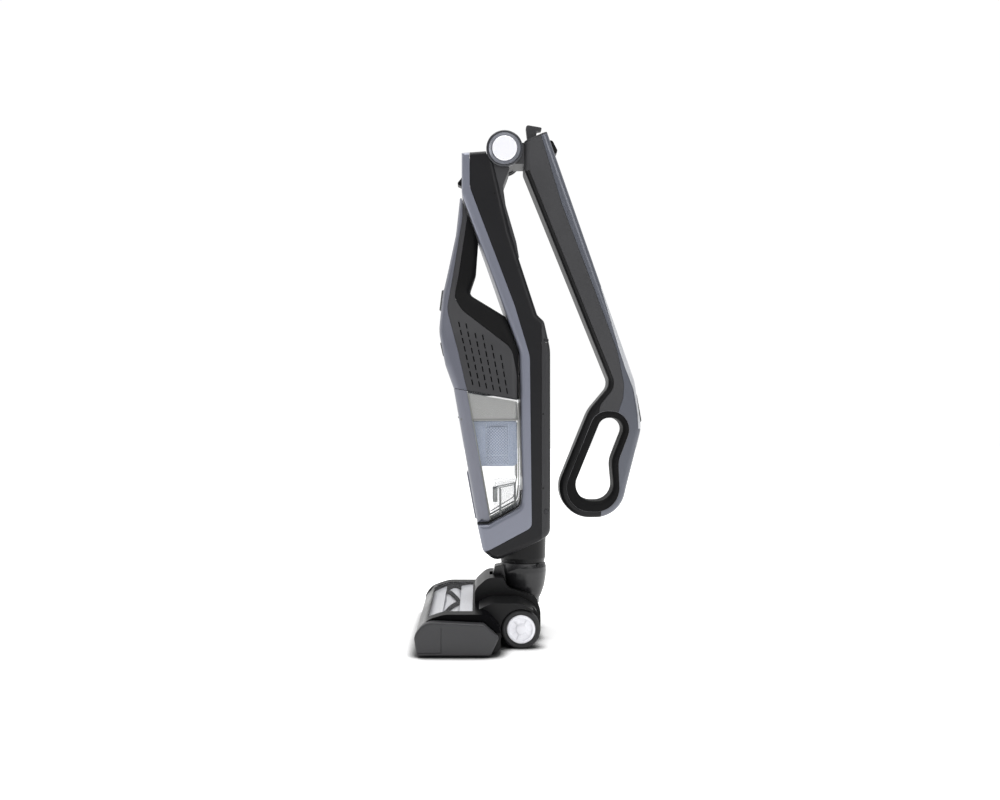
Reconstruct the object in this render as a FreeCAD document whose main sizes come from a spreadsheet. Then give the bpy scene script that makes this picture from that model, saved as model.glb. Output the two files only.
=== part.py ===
"""Cordless two-in-one stick vacuum: floor head, swivel neck, stick, lift-out hand unit and fold-down handle.

Millimetres. +Z is up, -Y is the front (brush side), X runs across. The origin is on the floor under the
middle of the folded vacuum. Side outlines are drawn in the YZ plane, front outlines in the XZ plane.
"""
import FreeCAD, Part
import math
import os
import Sketcher

V = FreeCAD.Vector
doc = FreeCAD.newDocument("stick_vacuum")

# ---------------------------------------------------------------- driving dimensions

SIZES = {
    # shells
    "shell_wall": 2.0, "through_len": 400,
    # handle hinge
    "hinge_y": -34.5, "hinge_z": 614.3, "hinge_pin_rad": 5.0, "hinge_bore_rad": 5.05,
    "knuckle_rad": 20.5, "knuckle_half": 19.5, "ear_in": 20.0, "ear_out": 25.0,
    "hinge_clear": 23.5, "knuckle_clear": 21.2,
    # folding arm
    "arm_half": 25.0, "arm_round": 7.0, "liner_half": 19.2, "liner_round": 5.5, "switch_half": 5.0,
    "hook_half": 5.5, "button_half": 8.0,
    # stick frame
    "stick_half": 44.0, "stick_round": 6.0, "catch_half": 7.0,
    # hand unit
    "hand_half": 48.0, "hand_round": 9.0, "bin_round": 8.0, "power_half": 6.0, "nozzle_half": 17.0,
    "ring_half": 46.0, "screen_half": 33.0, "duct_half": 13.5,
    "motor_y": -56.0, "motor_z": 331.0,
    # wheels
    "wheel_y": -16.3, "wheel_z": 23.0, "wheel_rad": 23.0, "wheel_in": 68.0,
    "axle_rad": 3.0, "axle_bore_rad": 3.05,
    # charging inlet
    "jack_x": -30.0, "jack_z": 205.0,
    # neck
    "pivot_y": -14.0, "pivot_z": 32.0, "drum_rad": 24.0, "drum_half": 26.0, "neck_y": -10.7,
    "bulge_y": -8.0, "stop_half": 10.0,
    # brush roll
    "roll_y": -100.5, "roll_z": 22.6, "roll_core_rad": 14.0, "roll_tip_rad": 20.3, "roll_half": 106.0,
    "roll_shaft_rad": 3.0, "roll_start": 60.0, "roll_twist": 70.0,
    "brush_motor_y": -62.0, "brush_motor_z": 24.0, "brush_motor_rad": 11.0,
    # floor head
    "roller_y": -64.0, "roller_z": 6.0,
    "head_half": 118.0, "head_full_half": 130.0, "window_half": 98.0, "head_split": 26.0,
    "cap_round": 2.5,
}

# side outlines: (y, z, corner radius) round each corner in turn
OUTLINES = {
    "arm": [(-9.6, 590, 10), (-9.6, 624.6, 0), (19.5, 637.1, 0), (131, 321.5, 60), (139.5, 263, 45),
            (122, 194, 60), (111.5, 149, 38), (17, 149, 38), (73, 286, 50), (100, 318, 16)],
    "arm_end": [(-14, 620.8, 0), (18.8, 634.8, 0), (30, 642, 0), (-14, 642, 0)],
    "loop": [(89, 275.6, 14), (122.5, 275.6, 14), (101, 221, 36), (105.5, 170, 21), (46, 170, 21)],
    "liner": [(81, 284, 22), (133.5, 284, 23), (109.5, 221, 36), (112, 157, 30), (30.5, 157, 30)],
    "arm_rear": [(6, 650, 0), (60, 650, 0), (170, 330, 0), (160, 120, 0), (88, 120, 0), (88, 175, 0),
                 (106, 228, 0), (109, 281, 0), (115.5, 300, 20), (116.8, 318, 30), (108, 361, 60),
                 (84, 425, 60), (38, 545, 60)],
    "arm_front": [(-20, 584, 0), (-3.6, 588, 0), (106.4, 316.4, 20), (83, 287.4, 20), (88, 270, 0),
                  (60, 200, 0), (88, 165, 0), (88, 120, 0), (-20, 120, 0)],
    "strip_zone": [(87.2, 441, 0), (110.6, 361.6, 60), (118.7, 337.5, 60), (129, 311, 30), (133.6, 284, 60),
                   (135, 262, 0), (170, 262, 0), (170, 441, 0)],
    "hook": [(-3.6, 622, 0), (-7, 650.4, 3), (13.6, 646.8, 1.5), (13.2, 643.6, 1.2), (6.6, 642.6, 3),
             (7.4, 622, 0)],
    "hook_slot": [(-95, 587.5, 0), (-95, 616, 0), (-58, 616, 0), (-58, 587.5, 0)],
    "fold_button": [(16, 622, 0), (25.5, 633, 4), (35.3, 613.8, 4), (22, 611, 0)],
    "switch": [(128.8, 303.8, 0), (134.6, 309.4, 3), (141.6, 270.2, 3), (134.2, 268.8, 0)],
    "switch_room": [(128.1, 304.4, 0), (134.2, 310.4, 0), (150, 310.4, 0), (150, 261.5, 0),
                    (134.8, 261.5, 0)],
    "stick": [(-88.5, 610, 0), (-51, 612.8, 0), (-46, 590, 12), (-27.5, 509, 120), (6, 404, 9),
              (14.5, 396, 9), (22, 361, 60), (22, 131, 14), (8, 122, 20), (-46, 97.5, 14), (-62, 110.5, 10),
              (-69, 143.5, 0), (-55, 143.8, 4), (-15, 165.5, 10), (-12.6, 190, 20), (-16.3, 358.4, 30),
              (-57, 473, 200), (-88.5, 558, 30)],
    "rail": [(-110, 640, 0), (-79, 640, 0), (-78.4, 566, 24), (-22.5, 416, 60), (-3.6, 352, 40),
             (-1.2, 140, 10), (-51, 113.2, 30), (-66, 106, 0), (-110, 106, 0)],
    "back_panel": [(11, 420, 0), (11, 118, 0), (60, 118, 0), (60, 420, 0)],
    "bracket": [(-54, 594, 0), (-27.5, 591.6, 2), (-36.5, 568, 14), (-33, 543, 30), (-19.6, 497, 20),
                (-15.9, 476, 3), (-30, 472, 0), (-54, 560, 0)],
    "catch": [(-80, 571, 0), (-88.3, 571, 0), (-93.8, 573.5, 1.5), (-93.8, 576, 1.5), (-88.3, 583, 0),
              (-80, 583, 0)],
    "ear": [(-56.1, 592.7, 0), (-56.1, 635.9, 21.5), (-12.9, 635.9, 21.5), (-12.9, 592.7, 21.5)],
    "hand": [(-98.4, 313, 0), (-108.5, 341, 30), (-116.8, 384, 60), (-113, 430, 60), (-96, 509, 90),
             (-91, 555, 0), (-89, 555, 0), (-67.6, 499, 0), (-70.6, 458, 25), (-79.6, 432, 9),
             (-32.8, 402.3, 0), (-18, 359, 20), (-17.2, 298.8, 0)],
    "hand_front": [(-140, 600, 0), (-86.5, 600, 0), (-87.8, 530, 40), (-99.4, 458.5, 60), (-107, 412, 40),
                   (-92.9, 358.7, 80), (-81.3, 309, 0), (-81.3, 290, 0), (-140, 290, 0)],
    "hand_grip": [(-80.5, 600, 0), (-81.5, 530, 40), (-92.1, 458.5, 60), (-97.5, 428, 12), (-88, 411, 30),
                  (-26, 362, 24), (-19.5, 330, 60), (-19.5, 280, 0), (0, 280, 0), (0, 600, 0)],
    "bin": [(-98.2, 312.3, 0), (-17.2, 298.1, 0), (-14.4, 178, 14), (-28, 121.5, 4), (-51.5, 118, 4),
            (-66, 144.2, 0), (-69, 144.8, 0)],
    "bin_front": [(-140, 330, 0), (-81.8, 330, 0), (-81.8, 308.5, 0), (-53.5, 150, 0), (-53.5, 100, 0),
                  (-140, 100, 0)],
    "ring": [(-96.4, 309.4, 0), (-17, 295.4, 0), (-17, 272.5, 0), (-90.6, 272.5, 0)],
    "screen": [(-80.4, 271.5, 0), (-19.8, 271.5, 0), (-18.4, 215.5, 6), (-70.6, 215.5, 6)],
    "power_switch": [(-111.2, 411, 0), (-117.4, 412.5, 2), (-114.2, 438.5, 2), (-108.8, 440, 0)],
    "bin_button": [(-107.6, 353, 0), (-112.6, 354.6, 1.5), (-116.4, 371.6, 1.5), (-107.6, 373, 0)],
    "nozzle_cover": [(-79, 208, 0), (-82.3, 207, 1.5), (-71.4, 148, 1.5), (-68, 148, 0)],
    "duct": [(-50, 126, 0), (-48, 192, 3), (-19.5, 196, 3), (-20.5, 150, 10), (-29, 124, 3)],
    "head": [(-138.5, 1.5, 4), (-142.2, 24, 14), (-127, 41.5, 26), (-108, 47.5, 40), (-58, 47.5, 15),
             (-41.5, 30, 13), (-41.5, 8, 4), (-50, 1.5, 3)],
    "end_cap": [(-138.5, 1.5, 4), (-142.2, 24, 12), (-131, 41.5, 22), (-61, 38.3, 6), (-43.6, 22.6, 3),
                (-53.5, 1.5, 5)],
    "cheek": [(-72, 8, 0), (-72, 62, 13), (-56, 76.5, 16), (-36, 76.5, 3), (-31, 64, 12), (4.5, 53, 9),
              (10, 36, 30), (10, 6, 6)],
    "fender": [(-70, 14, 0), (-70, 46, 8), (-52, 54.5, 24), (-17, 54.5, 22), (4.5, 43, 14), (6.2, 14, 0)],
    "neck_stop": [(-30, 90.5, 0), (-37, 88.6, 3), (-46.4, 86.6, 2), (-49.6, 73.5, 2), (-40, 74, 4),
                  (-30, 64, 0)],
}

# turned parts: (radius, place along the axis) corners
PROFILES = {
    "spigot_hole": [(0, 60), (18, 60), (18, 113), (0, 113)],
    "airway": [(0, 50), (13, 50), (13, 146), (0, 146)],
    "collar": [(18, 92.3), (27.6, 92.3), (29.2, 98), (30, 132), (18, 132)],
    "neck": [(13.2, 40), (21, 40), (21.4, 50), (24, 72), (27.6, 91.7), (17.7, 91.9), (17.7, 111.4),
             (13.2, 111.4)],
    "neck_bulge": [(0, 42), (17, 42), (21.8, 52), (25.2, 62), (26.9, 72), (27.6, 80), (27.4, 86), (26.3, 90),
                   (24.9, 91.6), (0, 91.6)],
    "tyre": [(17.5, 1), (21.6, 0), (23, 1.6), (23, 17.4), (21.6, 19), (17.5, 18)],
    "hub": [(0, -12), (3, -12), (3, 1.5), (17.2, 1.5), (17.2, 17.2), (14.6, 18.4), (12.5, 17), (6, 17.4),
            (4.6, 18.6), (0, 18.6)],
    "hinge_ring": [(16, 25.1), (22.2, 25.1), (23, 26), (23, 28.2), (22, 29.2), (16, 29.2)],
    "hinge_disc": [(0, 25.4), (15.6, 25.4), (15.6, 29.8), (14.4, 30.4), (0, 30.4)],
    "pinion": [(0, 0), (7.5, 0), (7.5, 1), (6, 1), (6, 9), (7.5, 9), (7.5, 10), (2, 10), (2, 13.7),
               (0, 13.7)],
    "fan": [(0, 0), (30, 0), (30, 1.6), (9, 4), (6, 12), (2.5, 12), (2.5, 13.7), (0, 13.7)],
    "front_roller": [(0, -2), (2, -2), (2, 0), (5, 0), (6, 1), (6, 9), (5, 10), (2, 10), (2, 12), (0, 12)],
    "motor": [(0, 0), (27, 0), (28, 2), (28, 38), (24, 42), (9, 44), (0, 44)],
    "shroud": [(31, 0), (33, 0), (33, 13), (12, 15), (12, 13.4), (31, 11.4)],
    "cell": [(0, 0), (9.2, 0), (9.2, 64), (4, 64), (4, 65), (0, 65)],
    "screw": [(0, 0), (1.4, 0), (1.4, 7), (2.7, 7), (2.7, 8.6), (0, 8.6)],
    "jack": [(2.8, 0), (6, 0), (6, 13), (0, 13), (0, 10), (2.8, 10)],
}

# places of the screws under the floor head, as (x, y)
SOLE_SCREWS = [(x, y) for x in (-30, 30) for y in (-131, -67)]

# front outlines: everything on +X outside the half width of the first points is cut away
FAR = 90
TAPERS = {
    "arm_width": [(25.5, 660, 0), (17.6, 130, 0), (FAR, 130, 0), (FAR, 660, 0)],
    "stick_width": [(26.5, 640, 0), (28, 540, 150), (44, 370, 150), (44, 90, 0), (FAR, 90, 0),
                    (FAR, 640, 0)],
    "hand_width": [(16, 600, 0), (17.5, 450, 120), (45, 370, 90), (48.2, 290, 0), (FAR, 290, 0),
                   (FAR, 600, 0)],
    "bin_width": [(47.4, 320, 0), (34, 100, 0), (FAR, 100, 0), (FAR, 320, 0)],
}


def inset(points, wall):
    """The same corners moved inwards by a wall's thickness; a negative wall moves them outwards."""
    area = sum(a[0] * b[1] - b[0] * a[1] for a, b in zip(points, points[1:] + points[:1]))
    side = 1 if area > 0 else -1
    moved = []
    for index, (u, v, radius) in enumerate(points):
        here = V(u, v, 0)
        came = (here - V(*points[index - 1][:2], 0)).normalize()
        goes = (V(*points[(index + 1) % len(points)][:2], 0) - here).normalize()
        normals = [V(-way.y, way.x, 0) * side for way in (came, goes)]
        shift = (normals[0] + normals[1]) * (wall / (1 + normals[0].dot(normals[1])))
        convex = (came.x * goes.y - came.y * goes.x) * side > 0
        radius = max(radius - wall if convex else radius + wall, 0) if radius else 0
        moved.append((round(u + shift.x, 3), round(v + shift.y, 3), radius))
    return moved


def widen(points, wall):
    """A front outline moved inwards by a wall's thickness."""
    return [(u if u == FAR else u - wall, v, radius) for u, v, radius in points]


for name in ("arm", "stick", "head", "screen", "ring", "duct"):
    OUTLINES[f"{name}_inner"] = inset(OUTLINES[name], SIZES["shell_wall"])
BIN_ROOM = [(-98.2, 312.3, 0), (-17.2, 298.1, 0), (-14.4, 178, 14), (-28, 121.5, 8), (-51.5, 118, 8),
            (-68.6, 145, 20)]
OUTLINES["bin_inner"] = inset(BIN_ROOM, SIZES["shell_wall"])
HAND_APEX = (-90.6, 559.1, 0)   # where the two sides of the hand unit's blunt tip would meet
OUTLINES["hand_inner"] = inset(OUTLINES["hand"][:5] + [HAND_APEX] + OUTLINES["hand"][7:], SIZES["shell_wall"])
for name in ("arm_width", "stick_width", "hand_width", "bin_width"):
    TAPERS[f"{name}_inner"] = widen(TAPERS[name], SIZES["shell_wall"])
OUTLINES["socket"] = inset(OUTLINES["bin"], -0.7)
TAPERS["socket_width"] = widen(TAPERS["bin_width"], -0.7)
OUTLINES["window_in"] = inset(OUTLINES["head"], 1.8)

sheet = doc.addObject("Spreadsheet::Sheet", "size")
sheet.Label = "size"
cells = dict(SIZES)
for name, corners in {**OUTLINES, **TAPERS}.items():
    for number, (across, up, radius) in enumerate(corners, 1):
        cells[f"{name}_u{number}"] = across
        cells[f"{name}_v{number}"] = up
        if radius:
            cells[f"{name}_r{number}"] = radius
for name, corners in PROFILES.items():
    for number, (radius, along) in enumerate(corners, 1):
        cells[f"{name}_u{number}"] = radius
        cells[f"{name}_v{number}"] = along
for row, (alias, value) in enumerate(cells.items(), 1):
    sheet.set(f"A{row}", alias)
    sheet.set(f"B{row}", str(value))
    sheet.setAlias(f"B{row}", alias)
doc.recompute()
NODES = {}


def node(name, obj):
    """Names a finished sub-part; its Label is its file's name."""
    obj.Label = name
    NODES[name] = obj
    return obj


# ---------------------------------------------------------------- sketch and feature helpers

def corner_facts(points):
    """For each corner: its point, the ends of its arc, its radius and the directions to its neighbours."""
    facts = []
    for index, (u, v, radius) in enumerate(points):
        here = V(u, v, 0)
        back = (V(*points[index - 1][:2], 0) - here).normalize()
        ahead = (V(*points[(index + 1) % len(points)][:2], 0) - here).normalize()
        angle = back.getAngle(ahead)
        run = radius / math.tan(angle / 2) if radius else 0
        facts.append((here, here + back * run, here + ahead * run, radius, back, ahead, angle))
    for index, fact in enumerate(facts):
        last = facts[index - 1]
        used = (last[2] - last[0]).Length + (fact[1] - fact[0]).Length
        if used > (fact[0] - last[0]).Length + 1e-6:
            raise ValueError(f"corner radii too large before corner {index + 1} at {fact[0]}")
    return facts


def arc_of(fact):
    """The arc round one corner, and whether it runs anticlockwise from its first end."""
    here, start, end, radius, back, ahead, angle = fact
    centre = here + (back + ahead).normalize() * (radius / math.sin(angle / 2))
    first = math.atan2(start.y - centre.y, start.x - centre.x)
    last = math.atan2(end.y - centre.y, end.x - centre.x)
    anticlockwise = back.x * ahead.y - back.y * ahead.x < 0
    circle = Part.Circle(centre, V(0, 0, 1), radius)
    return Part.ArcOfCircle(circle, *((first, last) if anticlockwise else (last, first))), anticlockwise


def draw_outline(sketch, name, points):
    """Draws a closed outline whose corners and radii are all held by the sheet's cells."""
    facts = corner_facts(points)
    count = len(facts)
    lines = [sketch.addGeometry(Part.LineSegment(facts[i][2], facts[(i + 1) % count][1]), False)
             for i in range(count)]
    arcs = []
    for fact in facts:
        if fact[3]:
            arc, anticlockwise = arc_of(fact)
            arcs.append((sketch.addGeometry(arc, False), anticlockwise))
        else:
            arcs.append(None)
    rules, bound = [], []

    def rule(*words, cell=None):
        rules.append(Sketcher.Constraint(*words))
        bound.append(cell)

    for i, fact in enumerate(facts):
        point = sketch.addGeometry(Part.Point(fact[0]), True)
        rule("DistanceX", -1, 1, point, 1, fact[0].x, cell=f"{name}_u{i + 1}")
        rule("DistanceY", -1, 1, point, 1, fact[0].y, cell=f"{name}_v{i + 1}")
        if arcs[i] is None:
            rule("Coincident", lines[i - 1], 2, lines[i], 1)
            rule("Coincident", lines[i], 1, point, 1)
            continue
        arc, anticlockwise = arcs[i]
        rule("PointOnObject", point, 1, lines[i - 1])
        rule("PointOnObject", point, 1, lines[i])
        rule("Tangent", lines[i - 1], 2, arc, 1 if anticlockwise else 2)
        rule("Tangent", arc, 2 if anticlockwise else 1, lines[i], 1)
        rule("Radius", arc, fact[3], cell=f"{name}_r{i + 1}")
    first = sketch.ConstraintCount
    sketch.addConstraint(rules)
    for offset, cell in enumerate(bound):
        if cell:
            sketch.renameConstraint(first + offset, cell)
            sketch.setExpression(f".Constraints.{cell}", f"size.{cell}")


def new_body(name):
    return doc.addObject("PartDesign::Body", name)


def new_sketch(body, role, name):
    sketch = body.newObject("Sketcher::SketchObject", name)
    plane = next(f for f in body.Origin.OriginFeatures if f.Role == role)
    sketch.AttachmentSupport = [(plane, "")]
    sketch.MapMode = "FlatFace"
    return sketch


def add_pad(body, sketch, length, both=False, name="pad"):
    pad = body.newObject("PartDesign::Pad", f"{body.Name}_{name}")
    pad.Profile = sketch
    if both:
        pad.SideType = "Symmetric"
    pad.setExpression("Length", length)
    body.Tip = pad
    doc.recompute()
    return pad


def outline_body(name, outline, length, both=False, holes=()):
    """A body padded from side outlines: towards +X, or half each way if both."""
    body = new_body(name)
    sketch = new_sketch(body, "YZ_Plane", f"{name}_side")
    for each in (outline, *holes):
        draw_outline(sketch, each, OUTLINES[each])
    add_pad(body, sketch, length, both)
    return body


def zone(name, outline, shift=(0, 0)):
    """A long prism over a side outline, used to split shells into pieces."""
    body = outline_body(name, outline, "size.through_len", both=True)
    body.Placement = FreeCAD.Placement(V(0, *shift), FreeCAD.Rotation())
    return body


def slab(name, outline, half, shift=(0, 0)):
    """A prism over a side outline between two planes at plus and minus a half width."""
    body = outline_body(name, outline, f"({half}) * 2", both=True)
    body.Placement = FreeCAD.Placement(V(0, *shift), FreeCAD.Rotation())
    return body


def taper_cut(body, taper):
    """Cuts away everything on +X outside the half width of a front outline."""
    sketch = new_sketch(body, "XZ_Plane", f"{body.Name}_front")
    draw_outline(sketch, taper, TAPERS[taper])
    before = body.Tip.Shape.Volume
    pocket = body.newObject("PartDesign::Pocket", f"{body.Name}_taper")
    pocket.Profile = sketch
    pocket.SideType = "Symmetric"
    pocket.setExpression("Length", "size.through_len")
    body.Tip = pocket
    doc.recompute()
    if pocket.Shape.Volume > before - 1:
        raise ValueError(f"{body.Name}: the taper cut nothing")
    return pocket


def round_edges(body, radius, names):
    """Fillets the named edges of the body's last feature."""
    tip = body.Tip
    fillet = body.newObject("PartDesign::Fillet", f"{body.Name}_round")
    fillet.Base = (tip, names)
    fillet.setExpression("Radius", radius)
    body.Tip = fillet
    doc.recompute()
    return fillet


def rim_edges(shape, keep=lambda edge: True):
    """Names of the edges between the rim, which runs along X, and the outer side of a half body."""
    names = []
    for number, edge in enumerate(shape.Edges, 1):
        if edge.BoundBox.XMin < 1 or not keep(edge):
            continue
        middle = edge.valueAt((edge.FirstParameter + edge.LastParameter) / 2)
        across = []
        for face in shape.ancestorsOfType(edge, Part.Face):
            u, v = face.Surface.parameter(middle)
            across.append(abs(face.normalAt(u, v).x) < 0.02)
        if sorted(across) == [False, True]:
            names.append(f"Edge{number}")
    return names


def hole_edges(shape):
    """Names of the edges round the holes in a pad's two end faces."""
    rims = [edge for face in shape.Faces if face.BoundBox.XLength < 0.01
            for wire in face.Wires if not wire.isSame(face.OuterWire) for edge in wire.Edges]
    return [f"Edge{number}" for number, edge in enumerate(shape.Edges, 1)
            if any(edge.isSame(rim) for rim in rims)]


def binary(kind, name, base, tool):
    made = doc.addObject(f"Part::{kind}", name)
    made.Base = base
    made.Tool = tool
    doc.recompute()
    return made


def cut(name, base, *tools):
    for number, tool in enumerate(tools):
        base = binary("Cut", name if number == len(tools) - 1 else f"{name}_step{number}", base, tool)
    return base


def common(name, base, tool):
    return binary("Common", name, base, tool)


def fuse(name, *shapes):
    made = doc.addObject("Part::MultiFuse", name)
    made.Shapes = list(shapes)
    made.Refine = True
    doc.recompute()
    return made


def mirror(name, source):
    made = doc.addObject("Part::Mirroring", name)
    made.Source = source
    made.Normal = V(1, 0, 0)
    doc.recompute()
    return made


def box(name, low, high):
    """A box between two corners; each is three numbers or expressions."""
    made = doc.addObject("Part::Box", name)
    for prop, a, b in zip(("Length", "Width", "Height"), low, high):
        made.setExpression(prop, f"({b}) - ({a})")
    for axis, a in zip("xyz", low):
        made.setExpression(f".Placement.Base.{axis}", str(a))
    doc.recompute()
    return made


def rod_x(name, radius, start, end, y, z):
    """A cylinder along X between two places, all given as expressions."""
    made = doc.addObject("Part::Cylinder", name)
    made.setExpression("Radius", str(radius))
    made.setExpression("Height", f"({end}) - ({start})")
    made.Placement = FreeCAD.Placement(V(), FreeCAD.Rotation(V(0, 1, 0), 90))
    made.setExpression(".Placement.Base.x", str(start))
    made.setExpression(".Placement.Base.y", str(y))
    made.setExpression(".Placement.Base.z", str(z))
    doc.recompute()
    return made


def rod_y(name, radius, start, end, x, z):
    """A cylinder along Y between two places, all given as expressions."""
    made = doc.addObject("Part::Cylinder", name)
    made.setExpression("Radius", str(radius))
    made.setExpression("Height", f"({end}) - ({start})")
    made.Placement = FreeCAD.Placement(V(), FreeCAD.Rotation(V(1, 0, 0), -90))
    made.setExpression(".Placement.Base.x", str(x))
    made.setExpression(".Placement.Base.y", str(start))
    made.setExpression(".Placement.Base.z", str(z))
    doc.recompute()
    return made


def rod_z(name, radius, start, end, x, y):
    """A cylinder along Z between two places, all given as expressions."""
    made = doc.addObject("Part::Cylinder", name)
    made.setExpression("Radius", str(radius))
    made.setExpression("Height", f"({end}) - ({start})")
    made.setExpression(".Placement.Base.x", str(x))
    made.setExpression(".Placement.Base.y", str(y))
    made.setExpression(".Placement.Base.z", str(start))
    doc.recompute()
    return made


def tube_x(name, outer, inner, start, end, y, z):
    return cut(name, rod_x(f"{name}_outer", outer, start, end, y, z),
               rod_x(f"{name}_inner", inner, f"({start}) - 1", f"({end}) + 1", y, z))


def tube_z(name, outer, inner, start, end, x, y):
    return cut(name, rod_z(f"{name}_outer", outer, start, end, x, y),
               rod_z(f"{name}_inner", inner, f"({start}) - 1", f"({end}) + 1", x, y))


def solid_master(name, outline, half, taper, edge_round, keep=lambda edge: True):
    """A tapered, rounded solid over a side outline, whole across X."""
    body = outline_body(f"{name}_half", outline, half)
    taper_cut(body, taper)
    round_edges(body, edge_round, rim_edges(body.Tip.Shape, keep))
    return fuse(name, body, mirror(f"{name}_mirror", body))


def halves(name, shape, low="0.01"):
    """The parts of a shape on +X and on -X."""
    right = common(f"{name}_on_right", shape, box(f"{name}_right_box", (low, -200, -10), (200, 200, 700)))
    left = common(f"{name}_on_left", shape, box(f"{name}_left_box", (-200, -200, -10), (f"-{low}", 200, 700)))
    return left, right


def turned(name, profile, place, way=(0, 0, 1)):
    """A body revolved round its own axis, which starts at a place and runs the given way."""
    body = new_body(name)
    sketch = new_sketch(body, "XZ_Plane", f"{name}_profile")
    draw_outline(sketch, profile, [(radius, along, 0) for radius, along in PROFILES[profile]])
    spin = body.newObject("PartDesign::Revolution", f"{name}_spin")
    spin.Profile = sketch
    spin.ReferenceAxis = (sketch, ["V_Axis"])
    spin.Angle = 360
    body.Tip = spin
    body.Placement = FreeCAD.Placement(V(*place), FreeCAD.Rotation(V(0, 0, 1), V(*way)))
    doc.recompute()
    return body


def group(name, shapes):
    """Identical small parts kept as separate solids in one sub-part."""
    made = doc.addObject("Part::Compound", name)
    made.Links = list(shapes)
    doc.recompute()
    return node(name, made)


def pill(name, low, high, edge_round):
    """A box with all its edges rounded."""
    block = box(f"{name}_block", low, high)
    made = doc.addObject("Part::Fillet", name)
    made.Base = block
    made.Edges = [(number, edge_round, edge_round) for number in range(1, 13)]
    doc.recompute()
    return made


# ---------------------------------------------------------------- folding handle arm

def make_arm():
    solid = solid_master("arm_solid", "arm", "size.arm_half + 5", "arm_width", "size.arm_round",
                         lambda edge: edge.BoundBox.ZMin < 620)
    core = solid_master("arm_core", "arm_inner", "size.arm_half + 5", "arm_width_inner",
                        "size.arm_round - size.shell_wall", lambda edge: edge.BoundBox.ZMin < 618)
    liner_hole = zone("arm_liner_hole", "liner")
    shell = cut("arm_shell", solid, core, liner_hole)

    web = box("knuckle_web", ("-size.knuckle_half", "size.hinge_y", 597), ("size.knuckle_half", -3, 623.6))
    barrel = rod_x("knuckle_barrel", "size.knuckle_rad", "-size.knuckle_half", "size.knuckle_half",
                   "size.hinge_y", "size.hinge_z")
    bore = rod_x("knuckle_bore", "size.hinge_bore_rad", -60, 60, "size.hinge_y", "size.hinge_z")
    joined = fuse("knuckle_joined", barrel, web, common("end_plate", shell, zone("arm_end_zone", "arm_end")))
    button_hole = box("fold_button_hole", (-8.4, 14, 608), (8.4, 40, 640))
    hook_window = box("hook_window", (-6.5, -9, 622.7), (6.5, 12, 640))
    hook_room = box("hook_room", (-6.5, -9, 615), (6.5, 12, 623))
    node("arm_knuckle", cut("arm_knuckle", joined, bore, button_hole, hook_window, hook_room))
    shell = cut("arm_shell_windowed", shell, web)

    rear = zone("arm_rear_zone", "arm_rear")
    rear_gap = zone("arm_rear_gap", "arm_rear", (-0.35, -0.1))
    front = zone("arm_front_zone", "arm_front")
    front_gap = zone("arm_front_gap", "arm_front", (0.35, 0.1))
    end_gap = zone("arm_end_gap", "arm_end", (0, -0.3))

    strip = zone("strip_zone", "strip_zone")
    strip_gap = zone("strip_gap", "strip_zone", (-0.25, 0))
    switch_room = slab("switch_room", "switch_room", "size.switch_half + 0.4")

    rear_whole = common("rear_cover_whole", shell, rear)
    node("arm_rear_cover", cut("arm_rear_cover", rear_whole, end_gap, strip_gap, button_hole, switch_room))
    node("arm_front_cover", cut("arm_front_cover", common("front_cover_whole", shell, front), end_gap))
    sides = cut("arm_sides", shell, rear_gap, front_gap, end_gap)
    group("arm_side_panels", halves("arm_side", sides))
    node("arm_strip", cut("arm_strip", common("arm_strip_whole", shell, strip), switch_room))

    liner = outline_body("grip_liner", "liner", "size.liner_half * 2", both=True, holes=("loop",))
    round_edges(liner, "size.liner_round", hole_edges(liner.Tip.Shape))
    node("grip_liner", liner)

    node("fold_button", slab("fold_button", "fold_button", "size.button_half"))
    node("latch_hook", slab("latch_hook", "hook", "size.hook_half"))
    node("handle_switch", slab("handle_switch", "switch", "size.switch_half"))


# ---------------------------------------------------------------- stick: frame, dock and hinge

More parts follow.
